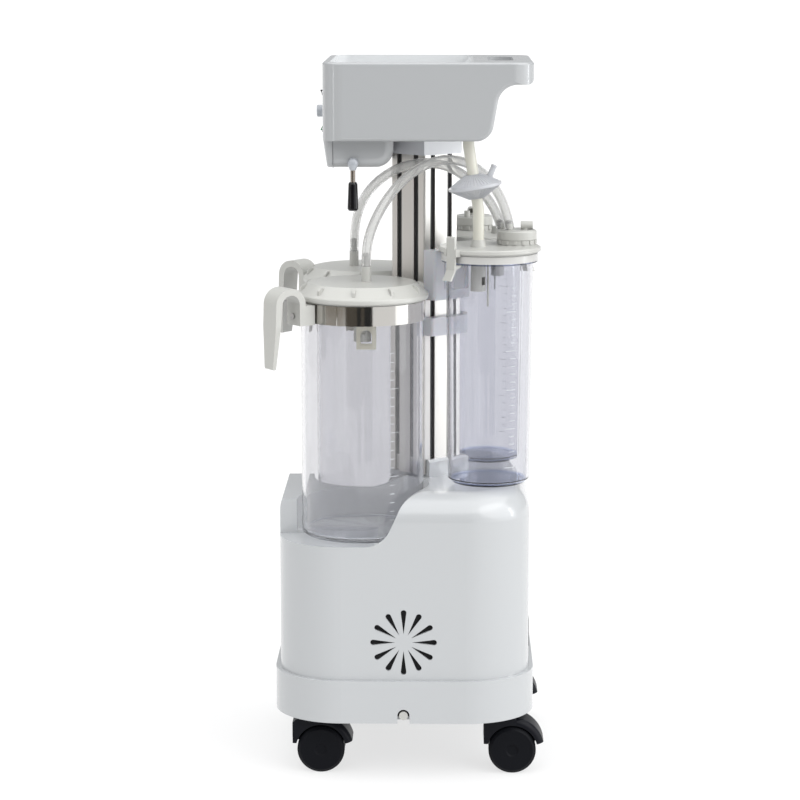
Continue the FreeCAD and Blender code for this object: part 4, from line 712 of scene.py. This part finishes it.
ribs = filter_ribs()
ribs.data.materials.append(filter_haze)
mesh_data = bmesh.new()
nozzle_place = FILTER_PLACE @ at(0.0185, 0, 0.0075, (0, 32, 0))
nozzle = [(0, 0), (0.0042, 0), (0.0036, 0.004), (0.0033, 0.015), (0.0037, 0.0152), (0.0037, 0.0172),
          (0.0022, 0.0176), (0.0022, 0.011), (0, 0.011)]
weld_rim = [(0.0305, -0.0022), (0.0331, -0.0017), (0.0334, 0), (0.0331, 0.0017), (0.0305, 0.0022)]
turn_profile(mesh_data, nozzle, nozzle_place, 32)
turn_profile(mesh_data, weld_rim, FILTER_PLACE, 96)
filter_nozzle = add_piece("filter_nozzle", mesh_data)
filter_nozzle.data.materials.append(filter_haze)
print("filter details made")

# %% [markdown]
# The large lids have short ribs round their sloping edge, for a better grip, and a small-jar cap has
# snap teeth under its top. Both are the same shape repeated round a circle.

# %% Lid ribs and cap teeth
rim_frost = plastic("frosted_rim", (0.52, 0.515, 0.50), (0.49, 0.485, 0.47), 0.30, 400, 0.04, coat=0.3)
JAR_AXES = {"right": (-0.053, -0.085), "left": (-0.053, 0.085)}
COLUMN_X = 0.024
SMALL_JAR_OUT = 0.1156
CAP_OUT, CAP_ASIDE = 0.1273, 0.0368
LID_RIBS, CAP_TEETH = 10, 14


def lid_ribs(side):
    """Ribs on the slope of one large lid, and the bead round its rim."""
    x, y = JAR_AXES[side]
    mesh_data = bmesh.new()
    outline = [(0.0700, 0.6165), (0.0708, 0.6190), (0.0755, 0.6176), (0.0781, 0.6149), (0.0786, 0.6095),
               (0.0700, 0.6150)]
    for i in range(LID_RIBS):
        turn = math.radians(360 / LID_RIBS * i + 12)
        place = Matrix.Translation((x, y, 0)) @ Matrix.Rotation(turn, 4, "Z")
        upright = place @ Matrix.Rotation(math.radians(90), 4, "X")
        push_outline(mesh_data, outline, -0.0016, 0.0016, upright)
    rim = [(0.0815, 0.6003), (0.0828, 0.6012), (0.0830, 0.6052), (0.0822, 0.6066), (0.0800, 0.6080)]
    turn_profile(mesh_data, rim, Matrix.Translation((x, y, 0)), 120)
    piece = add_piece("lid_ribs_" + side, mesh_data)
    piece.data.materials.append(lid_white)
    return piece


def face_place(side):
    """The column's turned frame for one side: its X axis runs out to the small jar."""
    angle = -45 if side == "right" else 45
    return Matrix.Translation((COLUMN_X, 0, 0)) @ Matrix.Rotation(math.radians(angle), 4, "Z")


def cap_teeth(side):
    """Snap teeth and a fine ring round one small cap."""
    mesh_data = bmesh.new()
    middle = face_place(side) @ Matrix.Translation((CAP_OUT, CAP_ASIDE, 0))
    for i in range(CAP_TEETH):
        turn = Matrix.Rotation(2 * math.pi * i / CAP_TEETH, 4, "Z")
        place = middle @ turn @ Matrix.Translation((0.0241, 0, 0))
        push_outline(mesh_data, round_rect(0.0011, 0.0024, 0.0005, 2), 0.6662, 0.6712, place)
    top_ring = [(0.0205, 0.6831), (0.0208, 0.6836), (0.0222, 0.6836), (0.0225, 0.6831)]
    turn_profile(mesh_data, top_ring, middle, 64)
    piece = add_piece("cap_teeth_" + side, mesh_data)
    piece.data.materials.append(lid_white)
    return piece


def rim_ring(side):
    """The frosted skirt round the top of one small jar, with a fine step at its foot."""
    mesh_data = bmesh.new()
    middle = face_place(side) @ Matrix.Translation((SMALL_JAR_OUT, 0, 0))
    skirt = [(0.06002, 0.6478), (0.0606, 0.6479), (0.0606, 0.6489), (0.0603, 0.6492), (0.0603, 0.6566),
             (0.06002, 0.6569)]
    turn_profile(mesh_data, skirt, middle, 120)
    piece = add_piece("rim_ring_" + side, mesh_data)
    piece.data.materials.append(rim_frost)
    return piece


for side in ("right", "left"):
    lid_ribs(side)
    cap_teeth(side)
    rim_ring(side)
print("lid ribs, cap teeth and rim rings made")

# %% [markdown]
# Under each large lid hangs a shut-off: a float in a cage, in a square cream shroud with an arched
# window in each thin wall. A wall is two flat faces with a hole in them, joined round the hole.

# %% Shut-off shrouds
shroud_cream = plastic("shroud_cream", (0.68, 0.66, 0.56), (0.64, 0.62, 0.52), 0.4, 400, 0.04)
NOZZLE_X = {"right": -0.048, "left": -0.069}


def shroud(side):
    """A square tube round one float cage, with an arched window in each face."""
    x, y = NOZZLE_X[side], JAR_AXES[side][1]
    half, wall, low, high = 0.0122, 0.0010, 0.5360, 0.5975
    sill, spring, arch_half, arch_rise = 0.5400, 0.5520, 0.0072, 0.0085
    arch = [(-arch_half, sill), (arch_half, sill), (arch_half, spring)]
    for t in range(15, 180, 15):
        a = math.radians(t)
        arch.append((arch_half * math.cos(a), spring + arch_rise * math.sin(a)))
    arch.append((-arch_half, spring))
    edge = [(-half, low), (half, low), (half, high), (-half, high)]
    mesh_data = bmesh.new()
    for quarter in range(4):
        turn = Matrix.Translation((x, y, 0)) @ Matrix.Rotation(math.radians(90 * quarter), 4, "Z")
        for depth, flip in ((half, 1), (half - wall, -1)):
            outer = [mesh_data.verts.new(turn @ Vector((u, -depth, v))) for u, v in edge]
            inner = [mesh_data.verts.new(turn @ Vector((u, -depth, v))) for u, v in arch]
            links = [(0, 0), (1, 1), (2, 8), (3, len(arch) - 2)]
            for (o1, i1), (o2, i2) in zip(links, links[1:] + links[:1]):
                run = [i1]
                while run[-1] != i2:
                    run.append((run[-1] + 1) % len(arch))
                mesh_data.faces.new([outer[o1], outer[o2]] + [inner[i] for i in reversed(run)])
        front = [turn @ Vector((u, -half, v)) for u, v in arch]
        back = [turn @ Vector((u, wall - half, v)) for u, v in arch]
        ring_a = [mesh_data.verts.new(v) for v in front]
        ring_b = [mesh_data.verts.new(v) for v in back]
        for i in range(len(arch)):
            k = (i + 1) % len(arch)
            mesh_data.faces.new((ring_a[i], ring_a[k], ring_b[k], ring_b[i]))
    piece = add_piece("shroud_" + side, mesh_data, smooth_angle=25)
    piece.data.materials.append(shroud_cream)
    return piece


for side in ("right", "left"):
    shroud(side)
print("shrouds made")

# %% [markdown]
# Black strips fill the column's slots, set back behind the slot lips. They are painted shade: a dark sheet
# where the deep slots fall into shadow, and they make the slots read as dark lines.

# %% Slot strips
mesh_data = bmesh.new()
for quarter in range(4):
    turn = Matrix.Translation((COLUMN_X, 0, 0)) @ Matrix.Rotation(math.radians(45 + 90 * quarter), 4, "Z")
    for offset in (-0.015, 0.015):
        place = turn @ Matrix.Translation((0.0264, offset, 0))
        push_outline(mesh_data, round_rect(0.0005, 0.0060, 0.0004, 2), 0.3870, 0.7735, place)
# Painted shade: dark strips that stand in for the shadow inside the slots.
slot_shade_strips = add_piece("slot_shade_strips", mesh_data)
slot_shade_strips.data.materials.append(socket_black)
print("slot strips made")

# %% [markdown]
# Printed and moulded marks are thin strips that follow the jar's wall: a short mark for each step and
# a longer one for every fifth.

# %% Jar marks
LARGE_JAR_RADIUS = 0.0770
SMALL_JAR_FOOT, SMALL_JAR_FLARE = 0.0513, 0.0032
LARGE_MARKS, SMALL_MARKS = 20, 24
MARK_LIFT, MARK_HALF = 0.00016, 0.0003
jar_print = plastic("jar_mark_grey", (0.60, 0.615, 0.655), (0.57, 0.585, 0.625), 0.4, 300, 0.03)


def wall_mark(mesh_data, place, radius, height, first, spread, half_height):
    """One curved strip on a round wall, from its first angle in degrees through its spread."""
    section = [(0, -half_height), (MARK_LIFT, -half_height * 0.7), (MARK_LIFT, half_height * 0.7),
               (0, half_height)]
    steps = max(2, int(spread / 2))
    rows = []
    for i in range(steps + 1):
        a = math.radians(first + spread * i / steps)
        out = Vector((math.cos(a), math.sin(a), 0))
        points = [out * (radius + r) + Vector((0, 0, height + z)) for r, z in section]
        rows.append([mesh_data.verts.new(place @ point) for point in points])
    for one, two in zip(rows, rows[1:]):
        for j in range(3):
            mesh_data.faces.new((one[j], two[j], two[j + 1], one[j + 1]))


def jar_marks(side):
    """The volume marks of one large and one small jar."""
    mesh_data = bmesh.new()
    x, y = JAR_AXES[side]
    sign = -1 if side == "right" else 1
    large = Matrix.Translation((x, y, 0))
    for i in range(LARGE_MARKS):
        spread = 9.0 if i % 5 == 0 else 4.5
        wall_mark(mesh_data, large, LARGE_JAR_RADIUS, 0.330 + 0.011 * i, 62 * sign, spread * -sign,
                  MARK_HALF)
    small = face_place(side) @ Matrix.Translation((SMALL_JAR_OUT, 0, 0))
    for i in range(SMALL_MARKS):
        z = 0.392 + 0.0098 * i
        radius = SMALL_JAR_FOOT + SMALL_JAR_FLARE * (z - 0.372) / 0.274
        spread = 15.0 if i % 5 == 0 else 8.0
        wall_mark(mesh_data, small, radius, z, 8 * sign, spread * sign, MARK_HALF)
    piece = add_piece("jar_marks_" + side, mesh_data)
    piece.data.materials.append(jar_print)
    return piece


for side in ("right", "left"):
    jar_marks(side)
print("jar marks made")

# %% [markdown]
# The vacuum gauge has a printed dial: ticks on an arc of three quarters of a turn, and plain numbers.

# %% Gauge dial
DIAL_PLACE = Matrix(((0, 0, -1, -0.09405), (-1, 0, 0, 0.046), (0, 1, 0, 0.8315), (0, 0, 0, 1)))
dial_white = plastic("dial_white", (0.80, 0.80, 0.78), (0.77, 0.77, 0.75), 0.4, 400, 0.02)
dial_ink = plastic("dial_ink", (0.015, 0.015, 0.018), (0.01, 0.01, 0.012), 0.5, 400, 0.02)
TICKS, NUMBERS = 31, 7
DIAL_SWEEP = 270
# A tick is its half-length, its half-width and how far out its middle lies.
LONG_TICK, SHORT_TICK = (0.0020, 0.00032, 0.0192), (0.0012, 0.00018, 0.0200)
NUMBER_RADIUS = 0.0148


def dial_angle(i, count):
    """The angle of one of some evenly spaced places on the dial's arc."""
    return math.radians(-90 + DIAL_SWEEP / (count - 1) * i)


def dial():
    """The dial's ticks, its numbers and its white face."""
    mesh_data = bmesh.new()
    for i in range(TICKS):
        half_length, half_width, out = LONG_TICK if i % 5 == 0 else SHORT_TICK
        place = Matrix.Rotation(dial_angle(i, TICKS), 4, "Z") @ Matrix.Translation((out, 0, 0))
        outline = round_rect(half_length, half_width, 0.0001, 1)
        push_outline(mesh_data, outline, 0.0, 0.00008, DIAL_PLACE @ place)
    piece = add_piece("dial_ticks", mesh_data)
    piece.data.materials.append(dial_ink)
    for i in range(NUMBERS):
        a = dial_angle(i, NUMBERS)
        text = bpy.data.curves.new("dial_number_%d" % i, "FONT")
        text.body = str(15 * i)
        text.size = 0.0042
        text.align_x, text.align_y = "CENTER", "CENTER"
        text.extrude = 0.00004
        number = bpy.data.objects.new("dial_number_%d" % i, text)
        place = Matrix.Translation((NUMBER_RADIUS * math.cos(a), NUMBER_RADIUS * math.sin(a), 0.00005))
        number.matrix_world = DIAL_PLACE @ place
        bpy.context.scene.collection.objects.link(number)
        number.data.materials.append(dial_ink)
        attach(number, "frame")
    disc = bmesh.new()
    turn_profile(disc, [(0.0013, -0.00005), (0.0013, 0), (0.0226, 0), (0.0226, -0.00005)], DIAL_PLACE, 64)
    face = add_piece("dial_face", disc)
    face.data.materials.append(dial_white)
    return piece


dial()
print("dial made")

# %% [markdown]
# Small trim finishes the pump: the parting line round the control box, a light dome and a cuff on the
# lever, and the overlap of each clamp band's ends.

# %% Small trim
SEAM_X, BOX_HALF = -0.0885, 0.1
LEVER_X, LEVER_Y, LEVER_Z = -0.0635, -0.108, 0.769
seam_grey = plastic("seam_grey", (0.13, 0.13, 0.135), (0.11, 0.11, 0.115), 0.6, 300, 0.02)
mesh_data = bmesh.new()
for side in (-1, 1):
    upright = Matrix.Translation((SEAM_X, side * BOX_HALF, 0))
    push_outline(mesh_data, round_rect(0.00035, 0.00015, 0.0001, 1), 0.7662, 0.7966, upright)
across = Matrix.Translation((SEAM_X, 0, 0))
push_outline(mesh_data, round_rect(0.00035, 0.0985, 0.0001, 1), 0.76285, 0.7631, across)
seam = add_piece("box_parting_line", mesh_data)
seam.data.materials.append(seam_grey)

mesh_data = bmesh.new()
dome = [(0, 0.0126), (0.0032, 0.0124), (0.0052, 0.0113), (0.0061, 0.0095), (0.0064, 0.0042),
        (0.0050, 0.0042)]
turn_profile(mesh_data, dome, at(LEVER_X, -BOX_HALF, LEVER_Z, (90, 0, 0)), 48)
cuff = [(0.0031, -0.0085), (0.0038, -0.0082), (0.0052, -0.0045), (0.0058, -0.0015), (0.0040, -0.0015)]
turn_profile(mesh_data, cuff, at(LEVER_X, LEVER_Y, LEVER_Z), 40)
lever_dome = add_piece("lever_dome", mesh_data, "lever")
lever_dome.data.materials.append(knob_grey)

for side in ("right", "left"):
    x, y = JAR_AXES[side]
    sign = -1 if side == "right" else 1
    mesh_data = bmesh.new()
    base = Matrix.Translation((x, y, 0))
    wall_mark(mesh_data, base, 0.0789, 0.586, 112 * sign, 0.9, 0.0116)
    lap = add_piece("band_lap_" + side, mesh_data)
    lap.data.materials.append(band_steel)
print("small trim made")

# %% Finish
bpy.context.view_layer.update()
